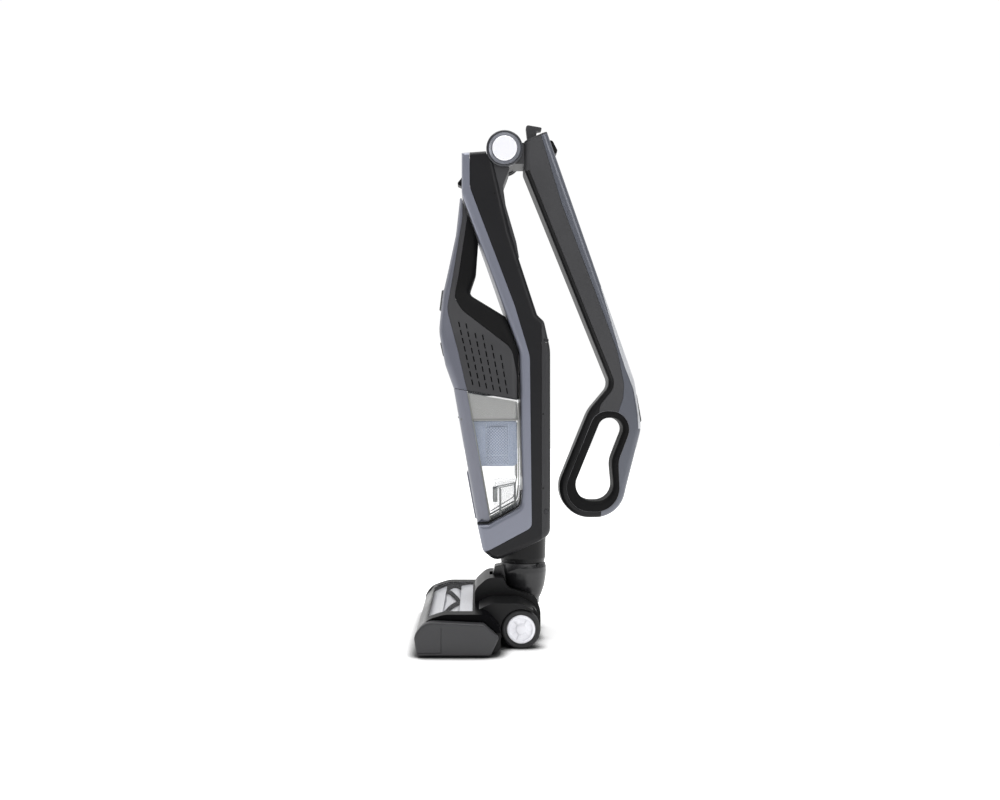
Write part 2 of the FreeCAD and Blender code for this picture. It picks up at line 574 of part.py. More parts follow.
def make_stick():
    solid = solid_master("stick_solid", "stick", "size.stick_half + 6", "stick_width", "size.stick_round")
    core = solid_master("stick_core", "stick_inner", "size.stick_half + 6", "stick_width_inner",
                        "size.stick_round - size.shell_wall")
    socket = solid_master("socket_space", "socket", "size.hand_half + 5", "socket_width", "size.hand_round",
                          lambda edge: edge.BoundBox.ZMax < 290)
    sweep = rod_x("hinge_sweep", "size.hinge_clear", -60, 60, "size.hinge_y", "size.hinge_z")
    hook_slot = slab("hook_slot_space", "hook_slot", "size.hook_half + 2")
    catch_hole = box("catch_hole", (-7.4, -92, 570.4), (7.4, -80, 583.6))
    spigot_hole = turned("spigot_hole", "spigot_hole", (0, SIZES["neck_y"], 0))
    jack_hole = rod_y("jack_hole", 6.1, 10, 30, "size.jack_x", "size.jack_z")

    screw_rooms = [rod_x(f"back_screw_room_{number}", 2.9, -60, 60, y, z)
                   for number, (y, z) in enumerate(((17, 372), (17, 160)), 1)]
    contact_holes = [rod_y(f"contact_hole_{x}", 2.3, -20, -5, x, 330) for x in (-10, 10)]
    shell = cut("stick_shell", solid, core, socket, sweep, hook_slot, catch_hole, spigot_hole, *screw_rooms,
                *contact_holes)
    node("stick_rails", common("stick_rails", shell, zone("rail_zone", "rail")))
    node("stick_frame", cut("stick_frame", shell, zone("rail_gap", "rail", (0.3, -0.1)),
                            zone("back_gap", "back_panel", (-0.3, 0))))
    back = common("back_whole", shell, zone("back_zone", "back_panel"))
    node("back_cover", cut("back_cover", back, jack_hole))

    block = common("dock_block", core, box("dock_height", (-60, -80, 90), (60, 20, 186)))
    airway = turned("airway", "airway", (0, SIZES["neck_y"], 0))
    node("dock_socket", cut("dock_socket", block, socket, spigot_hole, airway, *screw_rooms))
    node("neck_collar", cut("neck_collar", turned("collar_ring", "collar", (0, SIZES["neck_y"], 0)), solid))
    make_hinge(solid, cut("frame_round_sweep", solid, sweep))
    node("charging_jack", turned("charging_jack", "jack", (SIZES["jack_x"], 22, SIZES["jack_z"]), (0, -1, 0)))
    node("release_catch", slab("release_catch", "catch", "size.catch_half"))
    spots = [(side, y, z) for side in (1, -1) for y, z in ((17, 372), (17, 160))]
    screws = [turned(f"back_screw_{number}", "screw", (side * 36, y, z), (side, 0, 0))
              for number, (side, y, z) in enumerate(spots, 1)]
    group("back_screws", screws)
    group("charge_contacts", [rod_y(f"contact_{x}", 2, -17, -13.5, x, 330) for x in (-10, 10)])


def make_hinge(frame_solid, frame_round_sweep):
    """The bracket and ears that carry the folding arm, with the pin and its covers."""
    bracket = slab("bracket_block", "bracket", "size.ear_out")
    knuckle_room = rod_x("knuckle_room", "size.knuckle_clear", "-size.ear_in", "size.ear_in", "size.hinge_y",
                         "size.hinge_z")
    bore = rod_x("ear_bore", "size.hinge_bore_rad", -60, 60, "size.hinge_y", "size.hinge_z")
    pieces = [cut("bracket_free", bracket, knuckle_room, frame_solid)]
    rings, discs = [], []
    for side, name in ((1, "right"), (-1, "left")):
        plate = outline_body(f"ear_{name}", "ear", "size.ear_out - size.ear_in")
        plate.Placement.Base = V(SIZES["ear_in"] if side > 0 else -SIZES["ear_out"], 0, 0)
        doc.recompute()
        pieces.append(cut(f"ear_{name}_bored", plate, bore, frame_round_sweep))
        place, way = (0, SIZES["hinge_y"], SIZES["hinge_z"]), (side, 0, 0)
        rings.append(turned(f"ring_{name}", "hinge_ring", place, way))
        discs.append(turned(f"disc_{name}", "hinge_disc", place, way))
    node("hinge_bracket", fuse("hinge_bracket", *pieces))
    group("hinge_rings", rings)
    group("hinge_discs", discs)
    node("hinge_pin", rod_x("hinge_pin", "size.hinge_pin_rad", -24.8, 24.8, "size.hinge_y", "size.hinge_z"))


# ---------------------------------------------------------------- neck between the floor head and the stick

def make_neck():
    """The drum that pitches on the head, and the tube and spigot that the stick swivels on."""
    place = (0, SIZES["neck_y"], 0)
    tube = turned("neck_tube_whole", "neck", place)
    drum = rod_x("drum_whole", "size.drum_rad", "-size.drum_half", "size.drum_half", "size.pivot_y",
                 "size.pivot_z")
    throat = rod_z("drum_throat", 13.2, 38, 112, 0, "size.neck_y")
    shaft_room = rod_x("neck_shaft_room", "size.axle_bore_rad + 1", -60, 60, "size.pivot_y", "size.pivot_z")
    stop = slab("neck_stop", "neck_stop", "size.stop_half")
    bulge = turned("neck_bulge", "neck_bulge", (0, SIZES["bulge_y"], 0))
    node("neck_tube", cut("neck_tube", fuse("neck_joined", drum, tube, bulge, stop), throat, shaft_room))
    node("neck_axle", rod_x("neck_axle", "size.axle_rad + 1", -37, 37, "size.pivot_y", "size.pivot_z"))


# ---------------------------------------------------------------- floor head

def make_head():
    solid_body = outline_body("head_solid", "head", "size.head_half * 2", both=True)
    core = outline_body("head_core", "head_inner", "size.head_half * 2 - 5", both=True)
    window_hole = box("window_hole", ("-size.window_half", -128, 30), ("size.window_half", -74, 60))
    mouth = box("suction_mouth", (-108, -127, -1), (108, -76, 8))
    drum_room = rod_x("head_drum_room", "size.drum_rad + 0.6", -26.8, 26.8, "size.pivot_y", "size.pivot_z")
    throat = box("head_throat", (-24, -60, 16), (24, -30, 46))

    shell = cut("head_shell", solid_body, core)
    cover_zone = box("cover_zone", (-130, -160, "size.head_split"), (130, 0, 60))
    base_zone = box("base_zone", (-130, -160, 0), (130, 0, "size.head_split - 0.2"))
    cover = common("head_cover_whole", shell, cover_zone)
    node("head_cover", cut("head_cover", cover, window_hole, throat))
    base = common("head_base_whole", shell, base_zone)
    bays = [box(f"roller_bay_{name}", (side * 65 - 7, -73, 0), (side * 65 + 7, -55, 8))
            for side, name in ((1, "right"), (-1, "left"))]
    bays += [box(f"pad_bay_{name}", (side * 95 - 14.1, -137.6, 0), (side * 95 + 14.1, -129.4, 3.5))
             for side, name in ((1, "right"), (-1, "left"))]
    bays += [rod_z(f"screw_bay_{x}_{-y}", 2.9, 0, 12, x, y) for x, y in SOLE_SCREWS]
    node("head_base", cut("head_base", base, mouth, throat, *bays))
    glass = cut("window_band", outline_body("window_outer", "head", "size.window_half * 2 - 0.6", both=True),
                outline_body("window_core", "window_in", "size.through_len", both=True))
    window_room = box("window_room", (-97.7, -127.7, 30), (97.7, -74.3, 60))
    node("head_window", common("head_window", glass, window_room))
    node("sole_frame", cut("sole_frame", box("sole_block", (-113, -133, 3.6), (113, -60, 5.2)),
                           box("sole_mouth", (-108.5, -127.5, 0), (108.5, -75.5, 8)), *bays))

    for side, name in ((1, "right"), (-1, "left")):
        cap = outline_body(f"end_cap_{name}", "end_cap", "size.head_full_half - size.head_half - 0.3")
        cap.Placement.Base.x = SIZES["head_half"] + 0.3 if side > 0 else -SIZES["head_full_half"]
        rim = [f"Edge{i}" for i, edge in enumerate(cap.Tip.Shape.Edges, 1)
               if edge.BoundBox.XLength < 0.01 and (edge.BoundBox.XMin > 5) == (side > 0)]
        round_edges(cap, "size.cap_round", rim)
        low, high = ("size.head_full_half - 0.8", 140) if side > 0 else (-140, "0.8 - size.head_full_half")
        upright = box(f"cap_line_{name}", (low, -110.9, 5), (high, -109.9, 34))
        level = box(f"cap_foot_line_{name}", (low, -150, 5), (high, -109.9, 6))
        node(f"end_cap_{name}", cut(f"end_cap_{name}_lined", cap, upright, level))

    cheek_pair = cut("cheek_pair", slab("cheek_solid", "cheek", 38), box("cheek_gap", (-26.6, -60, -5),
                     (26.6, 20, 90)), solid_body, drum_room)
    front = cut("saddle_block", slab("saddle_solid", "cheek", 26.5), box("saddle_rear", (-60, -31, -5),
                (60, 30, 90)), solid_body, drum_room, throat,
                rod_z("tube_room", 25.4, 40, 90, 0, "size.neck_y"),
                box("stop_room", (-11.8, -53, 67.6), (11.8, -25, 90)))
    bore = rod_x("cheek_bore", "size.axle_bore_rad + 1", -60, 60, "size.pivot_y", "size.pivot_z")
    bridge = box("bridge_block", (-30, -41.3, 2.2), (30, 8, 6.8))
    node("pivot_housing", fuse("pivot_housing", cut("cheeks_bored", cheek_pair, bore), front, bridge))

    arch = rod_x("wheel_arch", "size.wheel_rad + 1.6", 66, 100, "size.wheel_y", "size.wheel_z")
    low_arch = box("wheel_arch_rear", (66, -2, -5), (100, 20, 80))
    solid = slab("fender_solid", "fender", 88)
    inner = box("fender_inner", (-38.2, -80, -5), (38.2, 30, 90))
    whole = cut("fender_pair", solid, inner, solid_body, arch, low_arch, mirror("arch_left", arch),
                mirror("arch_rear_left", low_arch))
    axle_bore = rod_x("fender_axle_bore", "size.axle_bore_rad", -100, 100, "size.wheel_y", "size.wheel_z")
    group("wheel_fenders", halves("fender", cut("fender_bored", whole, axle_bore)))


def make_wheels():
    for side, name in ((1, "right"), (-1, "left")):
        place = (side * SIZES["wheel_in"], SIZES["wheel_y"], SIZES["wheel_z"])
        tyre = turned(f"tyre_{name}", "tyre", place, (side, 0, 0))
        group(f"wheel_{name}", [tyre, turned(f"hub_{name}", "hub", place, (side, 0, 0))])


def make_brush():
    """The brush roll with its bristle strips, and the motor, pinion and belt that drive it."""
    y, z = SIZES["roll_y"], SIZES["roll_z"]
    core = rod_x("roll_core_whole", "size.roll_core_rad", "-size.roll_half", "size.roll_half", y, z)
    shaft = rod_x("roll_shaft", "size.roll_shaft_rad", "-size.head_half + 2.8", "size.head_half - 2.8", y, z)
    pulley_groove = tube_x("pulley_groove", 20, "size.roll_core_rad - 2", -99, -91, y, z)
    node("brush_core", fuse("brush_core", cut("grooved_core", core, pulley_groove), shaft))
    strips = []
    for number in range(4):
        for side in (1, -1):
            strips.append(bristle_strip(f"bristle_{number}_{side}", SIZES["roll_start"] + number * 90, side))
    group("bristle_strips", strips)


def bristle_strip(name, start_deg, side):
    """One flexible fin, stepped round the roll along a helix, from the middle towards one end."""
    y, z = SIZES["roll_y"], SIZES["roll_z"]
    length = SIZES["roll_half"] - 18
    stations = [(side * (2 + length * i / 8), start_deg + SIZES["roll_twist"] * i / 8) for i in range(9)]
    wires = []
    low, high, half = SIZES["roll_core_rad"] + 0.05, SIZES["roll_tip_rad"], 1.1
    for x, degrees in stations:
        turn = math.radians(degrees)
        out, along = V(0, math.cos(turn), math.sin(turn)), V(0, -math.sin(turn), math.cos(turn))
        middle = V(x, y, z)
        corners = [middle + out * low - along * half, middle + out * high - along * half,
                   middle + out * high + along * half, middle + out * low + along * half]
        wires.append(Part.makePolygon(corners + corners[:1]))
    made = doc.addObject("Part::Feature", name)
    made.Shape = Part.makeLoft(wires, True, False)
    return made


def make_drive():
    """The brush motor, its pinion and the belt to the roll."""
    y, z = SIZES["brush_motor_y"], SIZES["brush_motor_z"]
    node("brush_motor", rod_x("brush_motor", "size.brush_motor_rad", -86, -30, y, z))
    node("motor_pinion", turned("motor_pinion", "pinion", (-100, y, z), (1, 0, 0)))
    roll, pinion = (SIZES["roll_y"], SIZES["roll_z"]), (y, z)
    roll_rad, pinion_rad, thick = SIZES["roll_core_rad"] - 2 + 0.3, 6.3, 1.2
    belt = doc.addObject("Part::Feature", "drive_belt")
    outer = belt_face(roll, roll_rad + thick, pinion, pinion_rad + thick)
    inner = belt_face(roll, roll_rad, pinion, pinion_rad)
    belt.Shape = outer.cut(inner).extrude(V(6.4, 0, 0)).translated(V(-98.2, 0, 0))
    node("drive_belt", belt)


def belt_face(big, big_rad, small, small_rad):
    """The face inside a belt's path round two pulleys."""
    big, small = V(0, *big), V(0, *small)
    across = small - big
    heading = math.atan2(across.z, across.y)
    spread = math.acos((big_rad - small_rad) / across.Length)

    def at(centre, radius, angle):
        return centre + V(0, math.cos(angle), math.sin(angle)) * radius

    upper, lower = heading + spread, heading - spread
    edges = [Part.makeLine(at(big, big_rad, upper), at(small, small_rad, upper)),
             Part.Arc(at(small, small_rad, upper), at(small, small_rad, heading),
                      at(small, small_rad, lower)).toShape(),
             Part.makeLine(at(small, small_rad, lower), at(big, big_rad, lower)),
             Part.Arc(at(big, big_rad, lower), at(big, big_rad, heading + math.pi),
                      at(big, big_rad, upper)).toShape()]
    return Part.Face(Part.Wire(edges))


def make_undercarriage():
    """Front rollers, glide pads and screws under the floor head."""
    y, z = SIZES["roller_y"], SIZES["roller_z"]
    rollers, pads, screws = [], [], []
    for side, name in ((1, "right"), (-1, "left")):
        rollers.append(turned(f"roller_{name}", "front_roller", (side * 60, y, z), (side, 0, 0)))
        pads.append(pill(f"pad_{name}", (side * 95 - 14, -137.5, 0), (side * 95 + 14, -129.5, 3.4), 1))
    for x, y in SOLE_SCREWS:
        screws.append(turned(f"sole_screw_{x}_{-y}", "screw", (x, y, 11.2), (0, 0, -1)))
    group("front_rollers", rollers)
    group("glide_pads", pads)
    group("sole_screws", screws)


# ---------------------------------------------------------------- hand unit that lifts out of the dock

def make_hand():
    solid = solid_master("hand_solid", "hand", "size.hand_half + 6", "hand_width", "size.hand_round",
                         lambda edge: 316 < edge.BoundBox.ZMax < 553 and edge.Length > 0.5)
    core = solid_master("hand_core", "hand_inner", "size.hand_half + 6", "hand_width_inner",
                        "size.hand_round - size.shell_wall", lambda edge: 316 < edge.BoundBox.ZMax < 540)
    shell = cut("hand_shell", solid, core)
    front = zone("hand_front_zone", "hand_front")
    grip = zone("hand_grip_zone", "hand_grip")
    switch_hole = box("switch_hole", (-6.3, -125, 406), (6.3, -104, 444))
    button_hole = box("button_hole", (-8.3, -125, 352.2), (8.3, -102, 373.8))
    node("hand_front_cover", cut("hand_front_cover", common("hand_front_whole", shell, front), switch_hole,
                                 button_hole))
    node("hand_grip_cover", common("hand_grip_cover", shell, grip))
    sides = cut("hand_sides", shell, zone("hand_front_gap", "hand_front", (0.3, 0)),
                zone("hand_grip_gap", "hand_grip", (-0.25, -0.25)))
    floor_part = box("hand_floor_split", ("-size.hand_half + 14", -100, 290), ("size.hand_half - 14", 0, 320))
    group("motor_housing", [common("housing_floor", sides, floor_part),
                            *halves("hand_side", cut("hand_sides_vented", sides, floor_part, vents()))])

    node("power_switch", slab("power_switch", "power_switch", "size.power_half"))
    node("bin_button", slab("bin_button", "bin_button", "size.button_half"))


def vents():
    """The rows of short slots through both side panels: six leaning columns, shorter towards the back."""
    slots = []
    for column in range(6):
        low = V(0, -75 + 8.6 * column, 320 - 2.2 * column)
        high = V(0, -93.5 + 10.5 * column, 402 - 8.2 * column)
        way = (high - low).normalize()
        lean = math.degrees(math.atan2(-way.y, way.z))
        turn = FreeCAD.Rotation(V(1, 0, 0), lean)
        for row in range(int((high - low).Length // 10.6) + 1):
            middle = low + way * (10.6 * row)
            slot = Part.makeBox(160, 1.5, 7.2, V(-80, -0.75, -3.6))
            slot.Placement = FreeCAD.Placement(middle, turn)
            slots.append(slot)
    made = doc.addObject("Part::Feature", "vent_slots")
    made.Shape = Part.makeCompound(slots)
    return made


def make_bin():
    solid = solid_master("bin_solid", "bin", "size.hand_half + 5", "bin_width", "size.hand_round",
                         lambda edge: edge.BoundBox.ZMin < 290)
    core = solid_master("bin_core", "bin_inner", "size.hand_half + 5", "bin_width_inner",
                        "size.bin_round - size.shell_wall", lambda edge: edge.BoundBox.ZMin < 288)
    mouth = slab("bin_mouth", "ring_inner", "size.ring_half - 6", (0, 5))
    inlet = box("bin_inlet", (-10, -34, 125), (10, -8, 144))
    shell = cut("bin_shell", solid, core, mouth, inlet)
    node("bin_band", common("bin_band", shell, zone("bin_front_zone", "bin_front")))
    node("dust_bin", cut("dust_bin", shell, zone("bin_front_gap", "bin_front", (0.25, 0))))
    cover = slab("nozzle_cover_whole", "nozzle_cover", "size.nozzle_half")
    node("nozzle_cover", cut("nozzle_cover", cover, solid))
    ring = cut("ring_hollow", slab("ring_block", "ring", "size.ring_half"),
               slab("ring_core", "ring_inner", "size.ring_half - 6.5"))
    node("filter_ring", common("filter_ring", ring, core))
    screen_core = common("screen_core", slab("screen_core_block", "screen_inner", "size.screen_half - 2"),
                         box("screen_room", (-40, -90, 217), (40, 0, 290)))
    node("mesh_filter", cut("mesh_filter", slab("screen_block", "screen", "size.screen_half"), screen_core))
    node("fine_filter", tube_z("fine_filter", 22, 16, 222, 268, 0, -46))
    duct = cut("duct_hollow", slab("duct_block", "duct", "size.duct_half"),
               slab("duct_core", "duct_inner", "size.duct_half - size.shell_wall"),
               box("duct_top", (-11.5, -46, 185), (11.5, -22, 200)), inlet)
    node("inlet_duct", common("inlet_duct", duct, core))
    node("inlet_flap", box("inlet_flap", (-13, -48, 196.6), (13, -21, 197.8)))


# ---------------------------------------------------------------- what the hand unit holds inside

def make_insides():
    place = (0, SIZES["motor_y"], SIZES["motor_z"])
    node("suction_motor", turned("suction_motor", "motor", place))
    fan_place = (0, SIZES["motor_y"], SIZES["motor_z"] - 14)
    node("suction_fan", turned("suction_fan", "fan", fan_place))
    node("fan_shroud", turned("fan_shroud", "shroud", (0, SIZES["motor_y"], SIZES["motor_z"] - 15.2)))
    cells = [turned(f"cell_{number}", "cell", (x, -95.5, 342))
             for number, x in enumerate((-19.2, 0, 19.2), 1)]
    cells.append(turned("cell_4", "cell", (0, -92.8, 447), (0, 0.15, 0.989)))
    group("battery_cells", cells)
    node("control_board", box("control_board", (-32, -85, 378), (32, -32, 379.6)))


make_arm()
make_stick()
make_neck()
make_head()
make_wheels()
make_brush()
make_drive()
make_undercarriage()
make_hand()
make_bin()
make_insides()

# ---------------------------------------------------------------- checks and export

doc.recompute()
for made in doc.Objects:
    if {"Invalid", "Error"} & set(made.State):
        raise RuntimeError(f"{made.Name} failed: {made.State}")
os.makedirs("parts", exist_ok=True)
for name, obj in NODES.items():
    if obj.Shape.isNull() or not obj.Shape.isValid() or not obj.Shape.Solids:
        raise RuntimeError(f"{name} has no valid shape")
for name, obj in NODES.items():
    obj.Shape.exportStep(f"parts/{name}.step")
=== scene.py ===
"""Studio picture of a cordless two-in-one stick vacuum, standing folded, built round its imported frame.

Metres, in the frame's own axes: +Z up, -Y the front (brush side), +X towards the camera.
"""
import math

import bmesh
import bpy
from mathutils import Matrix, Vector


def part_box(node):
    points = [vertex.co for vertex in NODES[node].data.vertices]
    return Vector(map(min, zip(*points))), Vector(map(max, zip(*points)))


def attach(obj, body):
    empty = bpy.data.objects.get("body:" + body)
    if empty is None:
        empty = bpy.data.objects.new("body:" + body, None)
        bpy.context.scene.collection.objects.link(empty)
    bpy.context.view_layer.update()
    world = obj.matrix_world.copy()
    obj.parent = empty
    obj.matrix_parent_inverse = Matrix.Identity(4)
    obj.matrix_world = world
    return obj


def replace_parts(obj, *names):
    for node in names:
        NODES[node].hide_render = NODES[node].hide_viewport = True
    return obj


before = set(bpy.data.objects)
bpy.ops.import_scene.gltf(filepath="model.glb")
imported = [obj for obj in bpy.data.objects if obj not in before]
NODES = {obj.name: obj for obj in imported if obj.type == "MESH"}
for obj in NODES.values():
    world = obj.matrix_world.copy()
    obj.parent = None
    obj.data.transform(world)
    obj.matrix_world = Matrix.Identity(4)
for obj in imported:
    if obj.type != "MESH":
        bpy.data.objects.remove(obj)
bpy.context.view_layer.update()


# ---------------------------------------------------------------- colours and node helpers

def linear(red, green, blue):
    """A screen colour, 0 to 255, as a linear shader colour."""
    def one(value):
        value /= 255
        return value / 12.92 if value <= 0.04045 else ((value + 0.055) / 1.055) ** 2.4
    return (one(red), one(green), one(blue), 1)


def darker(colour, share):
    return tuple(c * share for c in colour[:3]) + (1,)


class Graph:
    """A short way to write a material's node tree."""

    def __init__(self, name):
        self.material = bpy.data.materials.new(name)
        self.material.use_nodes = True
        self.tree = self.material.node_tree
        self.shader = self.tree.nodes["Principled BSDF"]
        self.place = self.add("TexCoord").outputs["Object"]

    def add(self, kind, **settings):
        made = self.tree.nodes.new(f"ShaderNode{kind}")
        for key, value in settings.items():
            setattr(made, key, value)
        return made

    def link(self, source, target):
        self.tree.links.new(source, target)

    def noise(self, scale, detail, rough=0.5, stretch=None):
        """A noise value from 0 to 1; scale is waves per metre, and stretch squeezes each axis."""
        made = self.add("TexNoise")
        made.inputs["Scale"].default_value = scale
        made.inputs["Detail"].default_value = detail
        made.inputs["Roughness"].default_value = rough
        source = self.place
        if stretch:
            mapping = self.add("Mapping")
            mapping.inputs["Scale"].default_value = stretch
            self.link(source, mapping.inputs["Vector"])
            source = mapping.outputs["Vector"]
        self.link(source, made.inputs["Vector"])
        return made.outputs["Fac"]

    def spots(self, scale):
        """Distance from the middle of the nearest of many scattered cells; scale is cells per metre."""
        made = self.add("TexVoronoi")
        made.inputs["Scale"].default_value = scale
        self.link(self.place, made.inputs["Vector"])
        return made.outputs["Distance"]

    def remap(self, value, low, high, to_low=0.0, to_high=1.0):
        made = self.add("MapRange", clamp=True)
        for socket, number in zip(("From Min", "From Max", "To Min", "To Max"), (low, high, to_low, to_high)):
            made.inputs[socket].default_value = number
        self.link(value, made.inputs["Value"])
        return made.outputs["Result"]

    def feed(self, socket, value):
        """Sets a socket to a constant, or links another node's output to it."""
        if isinstance(value, (int, float, tuple)):
            socket.default_value = value
        else:
            self.link(value, socket)

    def math(self, operation, first, second):
        made = self.add("Math", operation=operation)
        self.feed(made.inputs[0], first)
        self.feed(made.inputs[1], second)
        return made.outputs["Value"]

    def mix(self, share, first, second):
        """Two colours mixed by a share; each is a constant or another node's output."""
        made = self.add("Mix", data_type="RGBA")
        self.link(share, made.inputs["Factor"])
        self.feed(made.inputs["A"], first)
        self.feed(made.inputs["B"], second)
        return made.outputs["Result"]

    def edges(self, radius):
        """How much the surface bends within a radius, 0 on a flat and towards 1 at an edge, and the
        normal that rounds it."""
        bevel = self.add("Bevel", samples=4)
        bevel.inputs["Radius"].default_value = radius
        geometry = self.add("NewGeometry")
        dot = self.add("VectorMath", operation="DOT_PRODUCT")
        self.link(bevel.outputs["Normal"], dot.inputs[0])
        self.link(geometry.outputs["Normal"], dot.inputs[1])
        return self.remap(dot.outputs["Value"], 0.995, 0.82), bevel.outputs["Normal"]

    def bump(self, height, strength, distance, normal=None):
        made = self.add("Bump")
        made.inputs["Strength"].default_value = strength
        made.inputs["Distance"].default_value = distance
        self.link(height, made.inputs["Height"])
        if normal is not None:
            self.link(normal, made.inputs["Normal"])
        return made.outputs["Normal"]

    def set(self, **values):
        for key, value in values.items():
            self.feed(self.shader.inputs[key.replace("_", " ")], value)


def plastic(name, colour, rough, grain=0.25, edge_wear_and_highlight=1.35, ior=1.42):
    """Moulded plastic: fine grain, faint clouding, scuffs, and lighter edges that are partly wear and partly
    a painted highlight.
    """
    g = Graph(name)
    clouds = g.noise(14, 4)
    fine = g.noise(2200, 2)
    worn_lit_edge, soft = g.edges(0.0006)
    scuffs = g.remap(g.noise(160, 5, 0.7, (1, 1, 0.25)), 0.58, 0.75)
    tone = g.mix(g.remap(clouds, 0.3, 0.7), darker(colour, 0.93), darker(colour, 1.06))
    wear_and_highlight = g.math("MULTIPLY", worn_lit_edge, g.remap(g.noise(60, 4), 0.35, 0.7, 0.2, 0.8))
    # Edges are lighter: partly wear, partly a painted highlight.
    g.set(Base_Color=g.mix(wear_and_highlight, tone, darker(colour, edge_wear_and_highlight)),
          Roughness=g.math("ADD", g.remap(clouds, 0.2, 0.8, rough - 0.05, rough + 0.06),
                           g.math("MULTIPLY", scuffs, 0.05)),
          Normal=g.bump(fine, grain, 0.00012, soft), IOR=ior)
    return g.material


def paint(name, colour, flake=0.3, rough=0.34, coat=0.35):
    """Satin paint with fine metallic flakes over plastic."""
    g = Graph(name)
    flakes = g.spots(5200)
    clouds = g.noise(9, 3)
    worn_lit_edge, soft = g.edges(0.0007)
    tone = g.mix(g.remap(clouds, 0.3, 0.7), darker(colour, 0.96), darker(colour, 1.05))
    sparkle = g.mix(g.remap(flakes, 0.12, 0.45), darker(colour, 1.18), tone)
    wear_and_highlight = g.math("MULTIPLY", worn_lit_edge, g.remap(g.noise(70, 4), 0.4, 0.7, 0.15, 0.6))
    # Edges are lighter: partly wear, partly a painted highlight.
    g.set(Base_Color=g.mix(wear_and_highlight, sparkle, darker(colour, 1.45)), Metallic=flake,
          Roughness=g.remap(g.noise(300, 4), 0.3, 0.7, rough - 0.04, rough + 0.05),
          Normal=g.bump(g.noise(900, 2), 0.06, 0.0001, soft), Coat_Weight=coat, Coat_Roughness=0.22)
    return g.material


def rubber(name, colour, rough=0.62):
    """Soft-touch rubber with a fine pebbled skin and a little sheen."""
    g = Graph(name)
    pebbles = g.spots(1500)
    clouds = g.noise(25, 4)
    worn_lit_edge, soft = g.edges(0.0006)
    tone = g.mix(g.remap(clouds, 0.3, 0.7), darker(colour, 0.85), darker(colour, 1.15))
    # Edges are lighter: partly wear, partly a painted highlight.
    g.set(Base_Color=g.mix(g.math("MULTIPLY", worn_lit_edge, 0.5), tone, darker(colour, 1.8)),
          Roughness=g.remap(clouds, 0.25, 0.75, rough - 0.08, rough + 0.08),
          Normal=g.bump(pebbles, 0.2, 0.00015, soft), Sheen_Weight=0.03, IOR=1.24)
    return g.material


def metal(name, colour, rough, brushed=(1, 1, 1), mottled=0.0):
    """Metal with fine machining marks, drawn out where brushed says so, and faint tarnish."""
    g = Graph(name)
    lines = g.noise(1400, 3, 0.6, brushed)
    clouds = g.noise(40, 4)
    worn_lit_edge, soft = g.edges(0.0004)
    tone = g.mix(g.remap(clouds, 0.35, 0.7), colour, darker(colour, 0.8 - mottled))
    # Edges are lighter: partly wear, partly a painted highlight.
    g.set(Base_Color=g.mix(worn_lit_edge, tone, darker(colour, 1.15)), Metallic=1.0,
          Roughness=g.remap(lines, 0.3, 0.7, rough - 0.06, rough + 0.1),
          Normal=g.bump(lines, 0.12, 0.00008, soft))
    return g.material


def clear(name, colour, rough=0.05, alpha=0.05, haze=0.3):
    """Clear moulded plastic, with flow marks, fine scratches and a little dust."""
    g = Graph(name)
    scratches = g.remap(g.noise(420, 6, 0.75, (1, 1, 0.2)), 0.6, 0.8)
    dust = g.remap(g.noise(90, 5, 0.7), 0.5, 0.85, 0.0, haze * 0.1)
    rim, soft = g.edges(0.0009)
    g.set(Base_Color=g.mix(g.remap(g.noise(12, 2), 0.3, 0.7), colour, darker(colour, 0.93)),
          Roughness=g.math("ADD", g.math("MULTIPLY", scratches, 0.1), rough),
          Alpha=g.math("ADD", g.math("ADD", g.math("MULTIPLY", rim, 0.3), dust), alpha),
          Normal=g.bump(g.noise(35, 2), 0.03, 0.0006, soft), IOR=1.49, Coat_Weight=0.5)
    return g.material


def holed(name, colour, pitch):
    """A thin sheet with staggered round holes, drawn on its broad sides, which face along X; the holes are
    painted dark, painted shade for the dark seen through them.
    """
    g = Graph(name)
    mapping = g.add("Mapping")
    mapping.inputs["Rotation"].default_value = (math.radians(45), 0, 0)
    g.link(g.place, mapping.inputs["Vector"])
    split = g.add("SeparateXYZ")
    g.link(mapping.outputs["Vector"], split.inputs["Vector"])
    flat = g.add("CombineXYZ")
    g.link(split.outputs["Y"], flat.inputs["X"])
    g.link(split.outputs["Z"], flat.inputs["Y"])
    cells = g.add("TexVoronoi", voronoi_dimensions="2D")
    cells.inputs["Scale"].default_value = 1 / pitch
    cells.inputs["Randomness"].default_value = 0.0
    g.link(flat.outputs["Vector"], cells.inputs["Vector"])
    hole_shade = g.remap(cells.outputs["Distance"], 0.34, 0.26)
    # The hole mask paints the holes dark: painted shade.
    g.set(Base_Color=g.mix(hole_shade, g.mix(g.noise(30, 3), darker(colour, 0.94), darker(colour, 1.05)),
                           darker(colour, 0.35)),
          Roughness=0.4, Normal=g.bump(hole_shade, 0.6, -0.0004))
    return g.material


black = plastic("black_moulded", linear(15, 15, 16), rough=0.36, edge_wear_and_highlight=1.9, ior=1.3)
black_gloss = plastic("black_polished", linear(12, 12, 14), rough=0.2, grain=0.06, edge_wear_and_highlight=1.8, ior=1.08)
dark = plastic("dark_grey_moulded", linear(59, 59, 61), rough=0.42, grain=0.35)
lilac = paint("lilac_paint", linear(122, 125, 138))
# A darker copy of the lilac paint for the front-facing covers: painted shade.
lilac_painted_shade = paint("front_lilac_painted_shade", linear(108, 110, 121))
# A darker copy of the dark grey moulding for the back cover: painted shade.
dark_grey_painted_shade = plastic("back_grey_painted_shade", linear(49, 49, 51), rough=0.42, grain=0.35)
